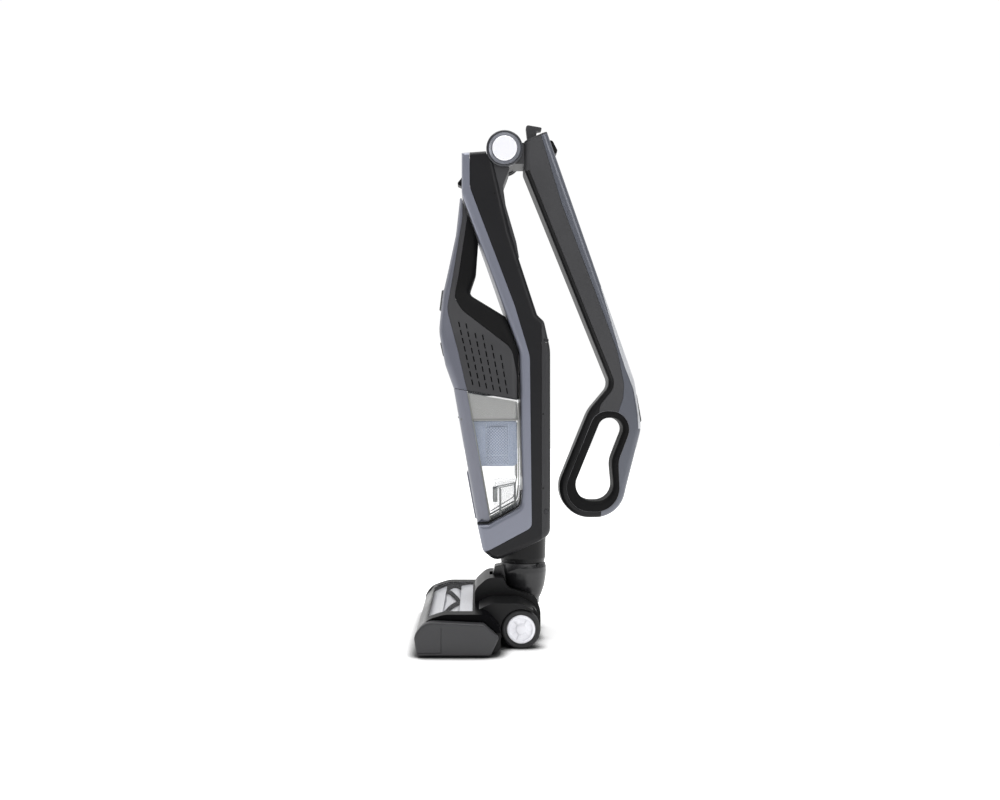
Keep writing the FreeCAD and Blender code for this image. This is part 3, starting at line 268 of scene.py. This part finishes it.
# A darker copy of the lilac paint for the arm's rear cover: painted shade.
lilac_arm_painted_shade = paint("arm_lilac_painted_shade", linear(88, 91, 100))
silver = paint("silver_paint", linear(196, 198, 202))
white = paint("white_gloss", linear(244, 244, 250), flake=0.1, rough=0.22, coat=0.6)
black_satin = plastic("black_satin", linear(28, 28, 29), rough=0.34, grain=0.12, edge_wear_and_highlight=1.8, ior=1.26)
# A greyer copy of the black moulding for the stick's frame: painted sheen standing in for reflections on its
# flat sides.
frame_black_painted_sheen = plastic("frame_black_painted_sheen", linear(30, 30, 32), rough=0.38, grain=0.2, edge_wear_and_highlight=1.6, ior=1.3)
black_neck = plastic("black_neck", linear(34, 34, 36), rough=0.3, grain=0.1, edge_wear_and_highlight=1.6, ior=1.5)
soft_black = rubber("soft_grip_rubber", linear(12, 12, 13))
tyre = rubber("tyre_rubber", linear(60, 60, 61), rough=0.7)
bristle = rubber("bristle_nylon", linear(22, 22, 23), rough=0.5)
belt = rubber("belt_rubber", linear(26, 26, 26), rough=0.55)
steel = metal("turned_steel", linear(178, 178, 180), 0.28, (1, 8, 8))
chrome = metal("bright_chrome", linear(214, 215, 218), 0.12)
cast = metal("cast_alloy", linear(150, 150, 152), 0.45, (1, 1, 1), 0.15)
bin_clear = clear("clear_bin", linear(225, 230, 235))
window_clear = clear("smoked_window", linear(205, 206, 212), rough=0.05, alpha=0.05, haze=0.15)
duct_clear = clear("duct_clear", linear(196, 200, 205), rough=0.12, alpha=0.08)
screw_dark = metal("blackened_steel", linear(70, 70, 72), 0.35)
filter_grey = plastic("filter_ring_grey", linear(152, 152, 150), rough=0.5, grain=0.2, edge_wear_and_highlight=1.1)
mesh_blue = plastic("mesh_blue_grey", linear(150, 160, 180), rough=0.4, grain=0.2, edge_wear_and_highlight=1.15)
foam = rubber("vent_foam", linear(14, 14, 15), rough=0.95)
mesh_pale = plastic("mesh_pale_rib", linear(186, 195, 212), rough=0.36, grain=0.15, edge_wear_and_highlight=1.1)
duct_grey = plastic("duct_grey", linear(172, 174, 172), rough=0.35, grain=0.15, edge_wear_and_highlight=1.1)
# A pale grey for the line round the grip liner: partly the seam, partly a painted highlight.
seam_and_highlight_grey = plastic("seam_and_highlight_grey", linear(92, 92, 95), rough=0.35, grain=0.1)
# A darker grey for the band at the filter ring's lower edge: painted shadow.
painted_shadow_grey = plastic("painted_shadow_grey", linear(120, 120, 118), rough=0.5, grain=0.2, edge_wear_and_highlight=1.1)
rim_grey = plastic("bin_rim_grey", linear(128, 129, 124), rough=0.35, grain=0.15, edge_wear_and_highlight=1.2)
perforated = holed("perforated_sheet", linear(158, 168, 188), 0.0026)
rim_dark = paint("rim_dark_paint", linear(50, 51, 56), flake=0.2)
bevel_lilac = paint("bevel_lilac_paint", linear(118, 120, 128))
roll_silver = paint("roll_silver", linear(222, 223, 228), flake=0.25)

FINISHES = {
    black: ("dock_socket", "neck_collar", "charging_jack", "release_catch",
            "head_base", "bin_button", "fold_button", "front_rollers", "fan_shroud"),
    frame_black_painted_sheen: ("stick_frame",),
    black_gloss: ("head_cover",),
    black_neck: ("neck_tube",),
    black_satin: ("wheel_fenders", "pivot_housing", "arm_front_cover"),
    dark: ("motor_housing", "arm_side_panels", "arm_knuckle", "end_cap_left", "end_cap_right",
           "hinge_bracket", "latch_hook", "handle_switch"),
    lilac: ("stick_rails", "nozzle_cover"),
    lilac_painted_shade: ("hand_front_cover", "bin_band"),
    dark_grey_painted_shade: ("back_cover",),
    lilac_arm_painted_shade: ("arm_rear_cover", "hinge_rings"),
    silver: ("arm_strip",),
    white: ("hinge_discs",),
    soft_black: ("hand_grip_cover", "grip_liner", "glide_pads"),
    steel: ("sole_frame", "hinge_pin", "neck_axle", "charge_contacts", "motor_pinion"),
    screw_dark: ("sole_screws", "back_screws"),
    chrome: ("power_switch",),
    cast: ("suction_motor", "suction_fan", "brush_motor", "battery_cells"),
    bin_clear: ("dust_bin",),
    duct_clear: ("inlet_duct", "inlet_flap"),
    window_clear: ("head_window",),
    filter_grey: ("filter_ring", "fine_filter"),
    mesh_blue: ("mesh_filter",),
    roll_silver: ("brush_core",),
    belt: ("drive_belt", "bristle_strips"),
    tyre: ("wheel_left", "wheel_right"),
    plastic("board_green", linear(40, 92, 58), rough=0.3): ("control_board",),
}
for finish, names in FINISHES.items():
    for name in names:
        NODES[name].data.materials.clear()
        NODES[name].data.materials.append(finish)

# ---------------------------------------------------------------- mesh helpers

def piece(name, made, finish, body, sharp=40):
    """Turns a bmesh into an object that rides on a body; edges sharper than an angle stay sharp."""
    bmesh.ops.remove_doubles(made, verts=made.verts, dist=1e-6)
    bmesh.ops.recalc_face_normals(made, faces=made.faces)
    mesh = bpy.data.meshes.new(name)
    made.to_mesh(mesh)
    made.free()
    mesh.shade_smooth()
    mesh.set_sharp_from_angle(angle=math.radians(sharp))
    mesh.materials.append(finish)
    obj = bpy.data.objects.new(name, mesh)
    bpy.context.scene.collection.objects.link(obj)
    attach(obj, body)
    return obj


def lathe(made, profile, centre, way, steps, shape=None):
    """Turns (radius, place along) corners round an axis through centre that points the given way; shape
    may move each corner at each angle."""
    along, across = Vector(way).normalized(), Vector(way).orthogonal().normalized()
    up = along.cross(across)
    rings = []
    for radius, place in profile:
        if radius == 0:
            rings.append([made.verts.new(Vector(centre) + along * place)])
            continue
        ring = []
        for step in range(steps):
            angle = 2 * math.pi * step / steps
            r, x = shape(radius, place, angle) if shape else (radius, place)
            ring.append(made.verts.new(Vector(centre) + along * x
                                       + (across * math.cos(angle) + up * math.sin(angle)) * r))
        rings.append(ring)
    for first, second in zip(rings, rings[1:]):
        for step in range(steps):
            after = (step + 1) % steps
            corners = [first[step % len(first)], first[after % len(first)],
                       second[after % len(second)], second[step % len(second)]]
            made.faces.new([c for i, c in enumerate(corners) if c not in corners[:i]])


def loft(made, rings):
    """Skins matching rings of points, with a face over each end."""
    grown = [[made.verts.new(point) for point in ring] for ring in rings]
    for first, second in zip(grown, grown[1:]):
        for index in range(len(first)):
            after = (index + 1) % len(first)
            made.faces.new((first[index], first[after], second[after], second[index]))
    made.faces.new(grown[0])
    made.faces.new(grown[-1])


def bar(made, low, high, soft=0.0004):
    """A block between two corners with bevelled edges."""
    low, high = Vector(low), Vector(high)
    block = bmesh.ops.create_cube(made, size=1, matrix=Matrix.Translation((low + high) / 2)
                                  @ Matrix.Diagonal((*(high - low), 1)))["verts"]
    edges = list({edge for vert in block for edge in vert.link_edges})
    bmesh.ops.bevel(made, geom=edges, offset=soft, segments=2, affect="EDGES")


def spread(side, across, along, up):
    """The two corners of a block given by its three spans, on one side of the middle."""
    low, high = (across if side > 0 else (-across[1], -across[0]))
    return (low, along[0], up[0]), (high, along[1], up[1])


# ---------------------------------------------------------------- wheels

SPOKES = 5
WHEEL_WIDE = 0.019
GROOVES, FIRST_GROOVE, GROOVE_STEP, GROOVE_DEEP = 5, 0.0026, 0.0029, 0.0007


def spoked(radius, place, angle):
    """Sinks the face of a hub between its spokes."""
    if not 0.006 < radius < 0.0135 or place < 0.01:
        return radius, place
    between = 0.5 - 0.5 * math.cos(SPOKES * angle)
    return radius, place - 0.0006 * min(max((between - 0.25) * 4, 0), 1)


def make_wheel(side, name):
    """A grooved tyre and a spoked hub with its stub axle; profiles start at the wheel's inner face."""
    low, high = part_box(f"wheel_{name}")
    radius = (high.z - low.z) / 2
    inner = high.x - WHEEL_WIDE if side > 0 else low.x + WHEEL_WIDE
    centre = Vector((inner, (low.y + high.y) / 2, radius))
    way = (side, 0, 0)
    made = bmesh.new()
    tread = []
    for groove in range(GROOVES):
        place = FIRST_GROOVE + GROOVE_STEP * groove
        tread += [(radius, place), (radius, place + 0.0019), (radius - GROOVE_DEEP, place + 0.0021),
                  (radius - GROOVE_DEEP, place + 0.0027)]
    side_in, side_out = 0.0004, 0.0186
    lathe(made, [(0.0172, 0.0012), (0.0190, side_in), (0.0214, side_in), (0.0226, 0.0014), (radius, 0.0024),
                 *tread, (radius, 0.0171), (0.0226, 0.0178), (0.0214, side_out), (0.0200, side_out),
                 (0.0196, 0.0181), (0.0180, 0.0181), (0.0172, 0.0176), (0.0172, 0.0012)], centre, way, 128)
    tyre_piece = piece(f"tyre_{name}", made, tyre, f"{name}_wheel", 30)
    made = bmesh.new()
    lathe(made, [(0, -0.012), (0.003, -0.012), (0.003, 0.0015), (0.0170, 0.0015), (0.0170, 0.0176),
                 (0.0163, 0.0182), (0.0150, 0.0184), (0.0136, 0.0183), (0.0133, 0.0176), (0.0120, 0.0174),
                 (0.0095, 0.0174), (0.0072, 0.0175), (0.0062, 0.0177), (0.0058, 0.0184), (0.0046, 0.0187),
                 (0, 0.0188)],
          centre, way, 120, spoked)
    hub = piece(f"hub_{name}", made, white, f"{name}_wheel", 28)
    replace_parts(tyre_piece, f"wheel_{name}")
    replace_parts(hub, f"wheel_{name}")


make_wheel(1, "right")
make_wheel(-1, "left")

# ---------------------------------------------------------------- brush roll

ROLL_ROWS = 4
ROLL_START, ROLL_TWIST = math.radians(60), math.radians(70)
ROLL_HALF = 0.1045              # half the core's length
BELT_TRACK = (-0.099, -0.091)   # where the core is thinner, for the belt
TUFTS, HAIRS = 44, 12           # tufts along each half row, hairs across a tuft


def make_roll():
    """A core with wide smooth lobes, and bristle rows between them, twisting from the middle to both ends."""
    low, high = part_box("brush_core")
    fins_low, fins_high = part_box("bristle_strips")
    y, z = (fins_low.y + fins_high.y) / 2, (fins_low.z + fins_high.z) / 2
    tip = (fins_high.z - fins_low.z) / 2
    core, reach = 0.0138, fins_high.x
    stations, around = 96, 144
    lobe = 0.0052
    made = bmesh.new()
    rings = []
    for station in range(stations + 1):
        x = -ROLL_HALF + 2 * ROLL_HALF * station / stations
        twist = ROLL_TWIST * min(abs(x), reach) / reach
        ring = []
        for step in range(around):
            angle = 2 * math.pi * step / around
            ridge = (0.5 - 0.5 * math.cos(ROLL_ROWS * (angle - ROLL_START - twist))) ** 0.3
            fade = min(max((reach - abs(x)) / 0.006, 0), 1)
            radius = core + lobe * ridge * fade
            if BELT_TRACK[0] < x < BELT_TRACK[1]:
                radius = core - 0.0018
            ring.append(Vector((x, y + radius * math.cos(angle), z + radius * math.sin(angle))))
        rings.append(ring)
    loft(made, rings)
    lathe(made, [(0, low.x), (0.003, low.x), (0.003, -0.1044), (0, -0.1044)], (0, y, z), (1, 0, 0), 32)
    lathe(made, [(0, 0.1044), (0.003, 0.1044), (0.003, high.x), (0, high.x)], (0, y, z), (1, 0, 0), 32)
    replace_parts(piece("roll_body", made, roll_silver, "brush_roll", 35), "brush_core")

    tufts = bmesh.new()
    for row in range(ROLL_ROWS):
        for side in (1, -1):
            for number in range(TUFTS):
                x = side * (0.0025 + (reach - 0.0035) * number / (TUFTS - 1))
                base_angle = ROLL_START + 2 * math.pi * row / ROLL_ROWS + ROLL_TWIST * abs(x) / reach
                for hair in range(HAIRS):
                    lean = 0.03 * math.sin(7.1 * hair + 3.3 * number)
                    angle = base_angle + 0.018 * (hair - 5.5)
                    start = Vector((x + 0.0007 * math.sin(hair * 1.9), 0, 0))
                    foot = Vector((0, math.cos(angle), math.sin(angle)))
                    head = Vector((0, math.cos(angle + lean), math.sin(angle + lean)))
                    flank = Vector((0, -math.sin(angle), math.cos(angle)))
                    rings = []
                    for out, wide in ((core - 0.0004, 0.00042), (tip - 0.0004, 0.00026)):
                        middle = Vector((0, y, z)) + start + (foot if out < tip - 0.002 else head) * out
                        along = Vector((wide, 0, 0))
                        rings.append([middle + flank * wide, middle + along,
                                      middle - flank * wide, middle - along])
                    loft(tufts, rings)
    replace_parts(piece("roll_tufts", tufts, bristle, "brush_roll"), "bristle_strips")


def make_chamber():
    """The pale guards before and behind the roll, close under the window."""
    made = bmesh.new()
    half, thick, crown = 0.096, 0.0006, 0.0016
    for start, end in (((-0.1105, 0.0412), (-0.1280, 0.0335)), ((-0.0905, 0.0418), (-0.0745, 0.0437))):
        rings = []
        for step in range(13):
            share = step / 12
            y = start[0] + (end[0] - start[0]) * share
            z = start[1] + (end[1] - start[1]) * share + crown * share * (1 - share)
            rings.append([Vector((-half, y, z)), Vector((half, y, z)),
                          Vector((half, y, z + thick)), Vector((-half, y, z + thick))])
        loft(made, rings)
    piece("roll_guards", made, roll_silver, "head", 50)


make_roll()
make_chamber()

# ---------------------------------------------------------------- strips, seals and ribs along side outlines

def rounded(corners):
    """The points of an open line in the YZ plane whose corners (y, z, radius) are rounded by arcs."""
    steps = 10
    points = [Vector((0, *corners[0][:2]))]
    for before, (y, z, radius), after in zip(corners, corners[1:], corners[2:]):
        here = Vector((0, y, z))
        back = (Vector((0, *before[:2])) - here).normalized()
        ahead = (Vector((0, *after[:2])) - here).normalized()
        half = back.angle(ahead) / 2
        run = radius / math.tan(half)
        middle = here + (back + ahead).normalized() * (radius / math.sin(half))
        start, end = here + back * run - middle, here + ahead * run - middle
        for step in range(steps + 1):
            points.append(middle + start.normalized().slerp(end.normalized(), step / steps) * radius)
    points.append(Vector((0, *corners[-1][:2])))
    return points


def side_strip(made, points, wide, low_x, high_x):
    """A strip along a line in the YZ plane, between two places across; either can change with height."""
    rings = []
    for index, point in enumerate(points):
        way = (points[min(index + 1, len(points) - 1)] - points[max(index - 1, 0)]).normalized()
        flank = Vector((0, -way.z, way.y))
        inner, outer = point - flank * (wide / 2), point + flank * (wide / 2)
        start, end = (x(point.z) if callable(x) else x for x in (low_x, high_x))
        soft = min(wide, abs(end - start)) * 0.25
        foot, top = Vector((start, 0, 0)), Vector((end, 0, 0))
        shoulder = Vector((end - math.copysign(soft, end - start), 0, 0))
        step = flank * soft
        rings.append([inner + foot, outer + foot, outer + shoulder, outer - step + top, inner + step + top,
                      inner + shoulder])
    loft(made, rings)


def skin_strip(made, points, wide, side, half, low, high):
    """A strip in a face that stands half(z) from the middle, from low to high over that face."""
    side_strip(made, points, wide, lambda z: side * (half(z) + low), lambda z: side * (half(z) + high))


def bin_half(z):
    """Half the width of the dust bin at a height."""
    return 0.034 + (0.0474 - 0.034) * (z - 0.100) / 0.220


def arm_half(z):
    """Half the width of the folded handle arm at a height."""
    return 0.0176 + (z - 0.130) * 0.0149


def hand_half(z):
    """Half the width inside the hand unit's shell at a height."""
    return 0.0410 - max(z - 0.366, 0) * 0.334


def make_bin_trim():
    """The seal round the dock's mouth, the thick rims of the clear bin and the plate at its back."""
    seal, rims = bmesh.new(), bmesh.new()
    mouth = rounded([(-0.0690, 0.1452, 0), (-0.0555, 0.1455, 0.005), (-0.0164, 0.1667, 0.0095),
                     (-0.0144, 0.1860, 0)])
    front = rounded([(-0.0802, 0.3050, 0), (-0.0523, 0.1490, 0)])
    back = rounded([(-0.0185, 0.2940, 0), (-0.0172, 0.1960, 0.030), (-0.0206, 0.1710, 0.008),
                    (-0.0515, 0.1520, 0)])
    for side in (1, -1):
        side_strip(seal, mouth, 0.0018, side * 0.0392, side * 0.0418)
        skin_strip(rims, front, 0.0011, side, bin_half, -0.0006, 0.0003)
        skin_strip(rims, back, 0.0012, side, bin_half, -0.0030, -0.0021)
    piece("dock_seal", seal, soft_black, "stick", 60)
    piece("bin_rims", rims, rim_grey, "hand_unit", 60)
    plate = bmesh.new()
    bar(plate, (-0.030, -0.0198, 0.200), (0.030, -0.0186, 0.270))
    piece("bin_back_plate", plate, rim_grey, "hand_unit", 60)


def bowed(made, face, thick, low_y, high_y, low_z, high_z):
    """A sheet standing off a face at x, bowed outwards between its two upright edges; x may be negative."""
    side, bow = (1 if face > 0 else -1), 0.003
    rings = []
    for step in range(17):
        share = step / 16
        y = low_y + (high_y - low_y) * share
        x = face + side * bow * 4 * share * (1 - share)
        rings.append([Vector((x, y, low_z)), Vector((x + side * thick, y, low_z)),
                      Vector((x + side * thick, y, high_z)), Vector((x, y, high_z))])
    loft(made, rings)


def make_filter_trim():
    """Ribs and bowed, perforated panels on the sides of the mesh filter, and a darker grey band at the filter
    ring's lower edge, a painted shadow line.
    """
    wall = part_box("mesh_filter")[1].x
    ribs, panels, painted_shadow_band = bmesh.new(), bmesh.new(), bmesh.new()
    for side in (1, -1):
        for y in (-0.0579, -0.0298):
            bar(ribs, *spread(side, (wall - 0.0004, wall + 0.0008), (y - 0.0005, y + 0.0005),
                              (0.2170, 0.2690)))
        for z in (0.2293, 0.2180):
            bowed(ribs, side * wall, 0.0007, -0.0576, -0.0301, z - 0.0004, z + 0.0004)
        bowed(panels, side * wall, 0.0003, -0.0574, -0.0303, 0.2176, 0.2640)
        bar(painted_shadow_band, *spread(side, (0.0415, 0.0428), (-0.0895, -0.0178), (0.2727, 0.2752)), 0.0002)
    piece("filter_painted_shadow", painted_shadow_band, painted_shadow_grey, "hand_unit", 40)
    piece("filter_ribs", ribs, mesh_pale, "hand_unit", 50)
    piece("filter_panels", panels, perforated, "hand_unit", 50)


def make_duct_ribs():
    """The grey posts, sloping rail and deflector on the sides of the bin's clear inlet duct."""
    made = bmesh.new()
    for side in (1, -1):
        for along, up in (((-0.0402, -0.0382), (0.1500, 0.1850)), ((-0.0212, -0.0196), (0.1580, 0.1905)),
                          ((-0.0488, -0.0432), (0.1690, 0.1862))):
            bar(made, *spread(side, (0.0136, 0.0146), along, up), 0.0003)
        rail = [Vector((0, y, 0.1850 + (y + 0.0490) * 0.22)) for y in (-0.0490, -0.0343, -0.0196)]
        side_strip(made, rail, 0.0012, side * 0.0120, side * 0.0146)
    piece("duct_ribs", made, duct_grey, "hand_unit", 40)


def make_grip_seam():
    """The thin pale strip along the seam where the soft liner meets the arm: partly the seam's own line,
    partly a painted highlight on the liner's edge.
    """
    made = bmesh.new()
    start = (0.0555, 0.2205, 0)
    line = rounded([start, (0.0810, 0.2843, 0.0220), (0.1338, 0.2843, 0.0230), (0.1098, 0.2210, 0.0360),
                    (0.1123, 0.1567, 0.0300), (0.0300, 0.1567, 0.0300), start])
    for side in (1, -1):
        skin_strip(made, line, 0.0005, side, arm_half, -0.0006, 0.0002)
    piece("grip_seam", made, seam_and_highlight_grey, "handle_arm", 60)


def make_vent_foam():
    """The dark foam behind the slots in both sides of the hand unit."""
    made = bmesh.new()
    foot, tall = 0.304, 0.100
    heights = [foot + 0.004 * step for step in range(26)]
    for side in (1, -1):
        rings = []
        for z in heights:
            share = (z - foot) / tall
            front = -0.080 - 0.019 * share
            back = min(-0.025, -0.025 - (z - 0.360) * 1.15)
            outer, inner = side * hand_half(z), side * (hand_half(z) - 0.002)
            rings.append([Vector((outer, front, z)), Vector((outer, back, z)), Vector((inner, back, z)),
                          Vector((inner, front, z))])
        loft(made, rings)
    piece("vent_foam", made, foam, "hand_unit")


make_bin_trim()
make_filter_trim()
make_duct_ribs()
make_grip_seam()
make_vent_foam()

# ---------------------------------------------------------------- ridges on the sliders, screws and back

RIDGES, RIDGE_STEP = 5, 0.0034


def make_ridges():
    """Thumb ridges across the sliders, and the guide ribs on the back."""
    made = bmesh.new()
    low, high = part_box("power_switch")
    for number in range(RIDGES):
        z = low.z + 0.007 + RIDGE_STEP * number
        y = low.y + (z - low.z - 0.0015) * 0.122 + 0.0002
        bar(made, (low.x + 0.0012, y - 0.0004, z - 0.0006), (high.x - 0.0012, y + 0.0012, z + 0.0006), 0.0003)
    piece("power_ridges", made, chrome, "power_slider")

    made = bmesh.new()
    low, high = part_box("handle_switch")
    for number in range(RIDGES):
        z = low.z + 0.009 + RIDGE_STEP * number
        y = high.y - (z - low.z - 0.003) * 0.184 - 0.0010
        bar(made, (low.x + 0.001, y - 0.0012, z - 0.0006), (high.x - 0.001, y + 0.0004, z + 0.0006), 0.0003)
    piece("speed_ridges", made, dark, "speed_slider")

    made = bmesh.new()
    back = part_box("back_cover")[1].y
    for number in range(7):
        z = 0.3310 + 0.0042 * number if number < 6 else 0.3110
        bar(made, (-0.015, back - 0.0006, z - 0.0008), (0.015, back + 0.0009, z + 0.0008), 0.0004)
    piece("back_ribs", made, dark, "stick")


def make_bezels():
    """A dark rim round each hinge cover, with a paler bevel inside it."""
    rims, bevels, foot = bmesh.new(), bmesh.new(), 0.0251
    low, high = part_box("hinge_rings")
    radius = (high.z - low.z) / 2
    centre = (0, (low.y + high.y) / 2, (low.z + high.z) / 2)
    for side in (1, -1):
        lathe(rims, [(0.0202, foot), (radius - 0.0008, foot), (radius, 0.0260), (radius, 0.0281),
                     (radius - 0.0004, 0.0287), (radius - 0.0012, high.x), (0.0206, high.x), (0.0202, 0.0288),
                     (0.0202, foot)], centre, (side, 0, 0), 144)
        lathe(bevels, [(0.0160, foot), (0.0201, foot), (0.0201, 0.0286), (0.0197, 0.0290), (0.0165, 0.0282),
                       (0.0160, 0.0279), (0.0160, foot)], centre, (side, 0, 0), 144)
    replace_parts(piece("hinge_rims", rims, rim_dark, "stick", 30), "hinge_rings")
    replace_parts(piece("hinge_bevels", bevels, bevel_lilac, "stick", 30), "hinge_rings")


def make_marks():
    """The bump over the bin button, the round bosses on the neck's seam, and the small pips on the stick's
    frame and back, which are set on those faces by a ray from each side."""
    made = bmesh.new()
    bar(made, (-0.006, -0.0935, 0.2750), (0.006, -0.0913, 0.2780), 0.0008)
    piece("bin_nub", made, black, "hand_unit", 50)

    boss = bmesh.new()
    for side in (1, -1):
        lathe(boss, [(0.0034, -0.0008), (0.0034, 0.0002), (0.0029, 0.0007), (0, 0.0008)],
              (side * 0.0209, 0.0084, 0.0885), (side * 0.786, 0.617, 0), 40)
    piece("neck_boss", boss, black, "neck", 40)

    dots = bmesh.new()
    for host, y, z in (("stick_frame", -0.0470, 0.5580), ("stick_frame", -0.0180, 0.4637),
                       ("back_cover", 0.0129, 0.2806), ("back_cover", 0.0129, 0.1886)):
        for side in (1, -1):
            met, place, normal, _ = NODES[host].ray_cast(Vector((side * 0.1, y, z)), Vector((-side, 0, 0)))
            if met:
                lathe(dots, [(0.0011, -0.0006), (0.0011, 0.0001), (0.0008, 0.0002), (0, -0.0002)],
                      place, normal, 24)
    piece("frame_pips", dots, soft_black, "stick", 30)


def screw_head(made, centre, way):
    """A pan head with a cross recess, built as a ring round a sunken cross."""
    radius, floor, top = 0.0027, -0.0009, 0.0
    arm, rim = radius * 0.2, radius * 0.82

    def crossed(r, place, angle):
        turn = abs((angle + math.pi / 4) % (math.pi / 2) - math.pi / 4)
        reach = min(radius * 0.58, arm / max(math.sin(turn), 0.2))
        return reach * r, place

    def crossed_inside(r, place, angle):
        return crossed(r, place, angle) if r == 1 else (r, place)

    lathe(made, [(radius, -0.0016), (radius, -0.0006), (rim, top)], centre, way, 48)
    lathe(made, [(0, floor), (0.7, floor), (1, top)], centre, way, 48, crossed)
    lathe(made, [(rim, top), (1, top)], centre, way, 48, crossed_inside)


def make_screws():
    """A detailed head over each CAD screw, a tenth of a millimetre proud of it."""
    proud = 0.0001
    heads = bmesh.new()
    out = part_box("back_screws")[1].x + proud
    for side in (1, -1):
        for z in (0.160, 0.372):
            screw_head(heads, (side * out, 0.017, z), (side, 0, 0))
    piece("back_screw_heads", heads, screw_dark, "stick", 25)
    heads = bmesh.new()
    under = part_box("sole_screws")[0].z - proud
    for x in (-0.030, 0.030):
        for y in (-0.131, -0.067):
            screw_head(heads, (x, y, under), (0, 0, -1))
    piece("sole_screw_heads", heads, screw_dark, "head", 25)


make_ridges()
make_bezels()
make_marks()
make_screws()

# ---------------------------------------------------------------- studio

CAMERA_AT = (1.25, -0.0679, 0.2856)
CAMERA_LENS = 35.03             # millimetres, for a 36 mm wide sensor
CAMERA_SHIFT = (0.022, 0.010)   # keeps the uprights parallel
WORLD_BEHIND, WORLD_CAMERA_SIDE, WORLD_SEEN = 0.8, 0.14, 1.02   # strengths; the last is what the camera sees
FLOOR_HALF = 6
CONTACT_REACH = 0.019           # how far the painted contact shadow spreads


def make_stage():
    """A pale floor that glows white further away, with a painted contact shadow: its colour and glow go dark
    where ambient occlusion finds the vacuum close, and its glow dims near the vacuum.
    """
    floor = bpy.data.meshes.new("floor")
    made = bmesh.new()
    made.faces.new([made.verts.new((x * FLOOR_HALF, y * FLOOR_HALF, 0))
                    for x, y in ((-1, -1), (1, -1), (1, 1), (-1, 1))])
    made.to_mesh(floor)
    made.free()
    obj = bpy.data.objects.new("floor", floor)
    bpy.context.scene.collection.objects.link(obj)
    g = Graph("pale_floor")
    away = g.add("VectorMath", operation="DISTANCE")
    g.link(g.place, away.inputs[0])
    away.inputs[1].default_value = (0, -0.06, 0)
    near = g.add("AmbientOcclusion", samples=8)
    near.inputs["Distance"].default_value = CONTACT_REACH
    free_of_painted_shadow = g.remap(near.outputs["AO"], 0.52, 0.95)
    # The glow is cut by the occlusion mask and dims towards the vacuum: painted shade on the floor.
    glow_with_painted_shade = g.math("MULTIPLY", free_of_painted_shadow, g.remap(away.outputs["Value"], 0.1, 0.3, 0.4, 0.8))
    pale = g.mix(g.noise(3, 2), (0.84, 0.84, 0.84, 1), (0.86, 0.86, 0.86, 1))
    # The colour goes near black inside the occlusion mask: a painted contact shadow.
    g.set(Base_Color=g.mix(free_of_painted_shadow, (0.08, 0.08, 0.08, 1), pale), Roughness=0.6,
          Emission_Color=(1, 1, 1, 1), Emission_Strength=glow_with_painted_shade)
    floor.materials.append(g.material)


def make_light(name, place, aim, size, power):
    data = bpy.data.lights.new(name, "AREA")
    data.shape = "RECTANGLE"
    data.size, data.size_y = size
    data.energy = power
    light = bpy.data.objects.new(name, data)
    light.location = place
    light.rotation_euler = (Vector(aim) - Vector(place)).to_track_quat("-Z", "Y").to_euler()
    bpy.context.scene.collection.objects.link(light)


def make_world():
    """A white surround that lights more from behind the vacuum than from the camera's side."""
    world = bpy.data.worlds.new("studio")
    world.use_nodes = True
    tree = world.node_tree
    split = tree.nodes.new("ShaderNodeSeparateXYZ")
    tree.links.new(tree.nodes.new("ShaderNodeTexCoord").outputs["Generated"], split.inputs["Vector"])
    lit = tree.nodes.new("ShaderNodeMapRange")
    lit.inputs["From Min"].default_value = -1.0
    lit.inputs["To Min"].default_value = WORLD_BEHIND
    lit.inputs["To Max"].default_value = WORLD_CAMERA_SIDE
    tree.links.new(split.outputs["X"], lit.inputs["Value"])
    seen = tree.nodes.new("ShaderNodeMix")
    tree.links.new(tree.nodes.new("ShaderNodeLightPath").outputs["Is Camera Ray"], seen.inputs["Factor"])
    tree.links.new(lit.outputs["Result"], seen.inputs["A"])
    seen.inputs["B"].default_value = WORLD_SEEN
    background = tree.nodes["Background"]
    background.inputs["Color"].default_value = (1, 1, 1, 1)
    tree.links.new(seen.outputs["Result"], background.inputs["Strength"])
    bpy.context.scene.world = world


def make_camera():
    camera = bpy.data.cameras.new("camera")
    camera.sensor_width = 36
    camera.lens = CAMERA_LENS
    camera.shift_x, camera.shift_y = CAMERA_SHIFT
    obj = bpy.data.objects.new("camera", camera)
    obj.location = CAMERA_AT
    obj.rotation_euler = (math.radians(90), 0, math.radians(90))
    bpy.context.scene.collection.objects.link(obj)
    bpy.context.scene.camera = obj


def make_studio():
    make_stage()
    make_world()
    make_light("overhead", (0.1, 0, 1.9), (0, 0, 0), (1.6, 1.6), 26)
    make_light("key", (1.5, 0.8, 1.15), (0, 0, 0.3), (0.7, 0.7), 6.5)
    make_light("fill", (1.4, -1.2, 1.1), (0, 0, 0.3), (0.7, 0.9), 0.8)
    make_light("rim", (-0.6, -1.6, 0.8), (0, 0, 0.3), (0.5, 1.0), 2.2)
    make_camera()
    bpy.context.scene.view_settings.view_transform = "Standard"


make_studio()
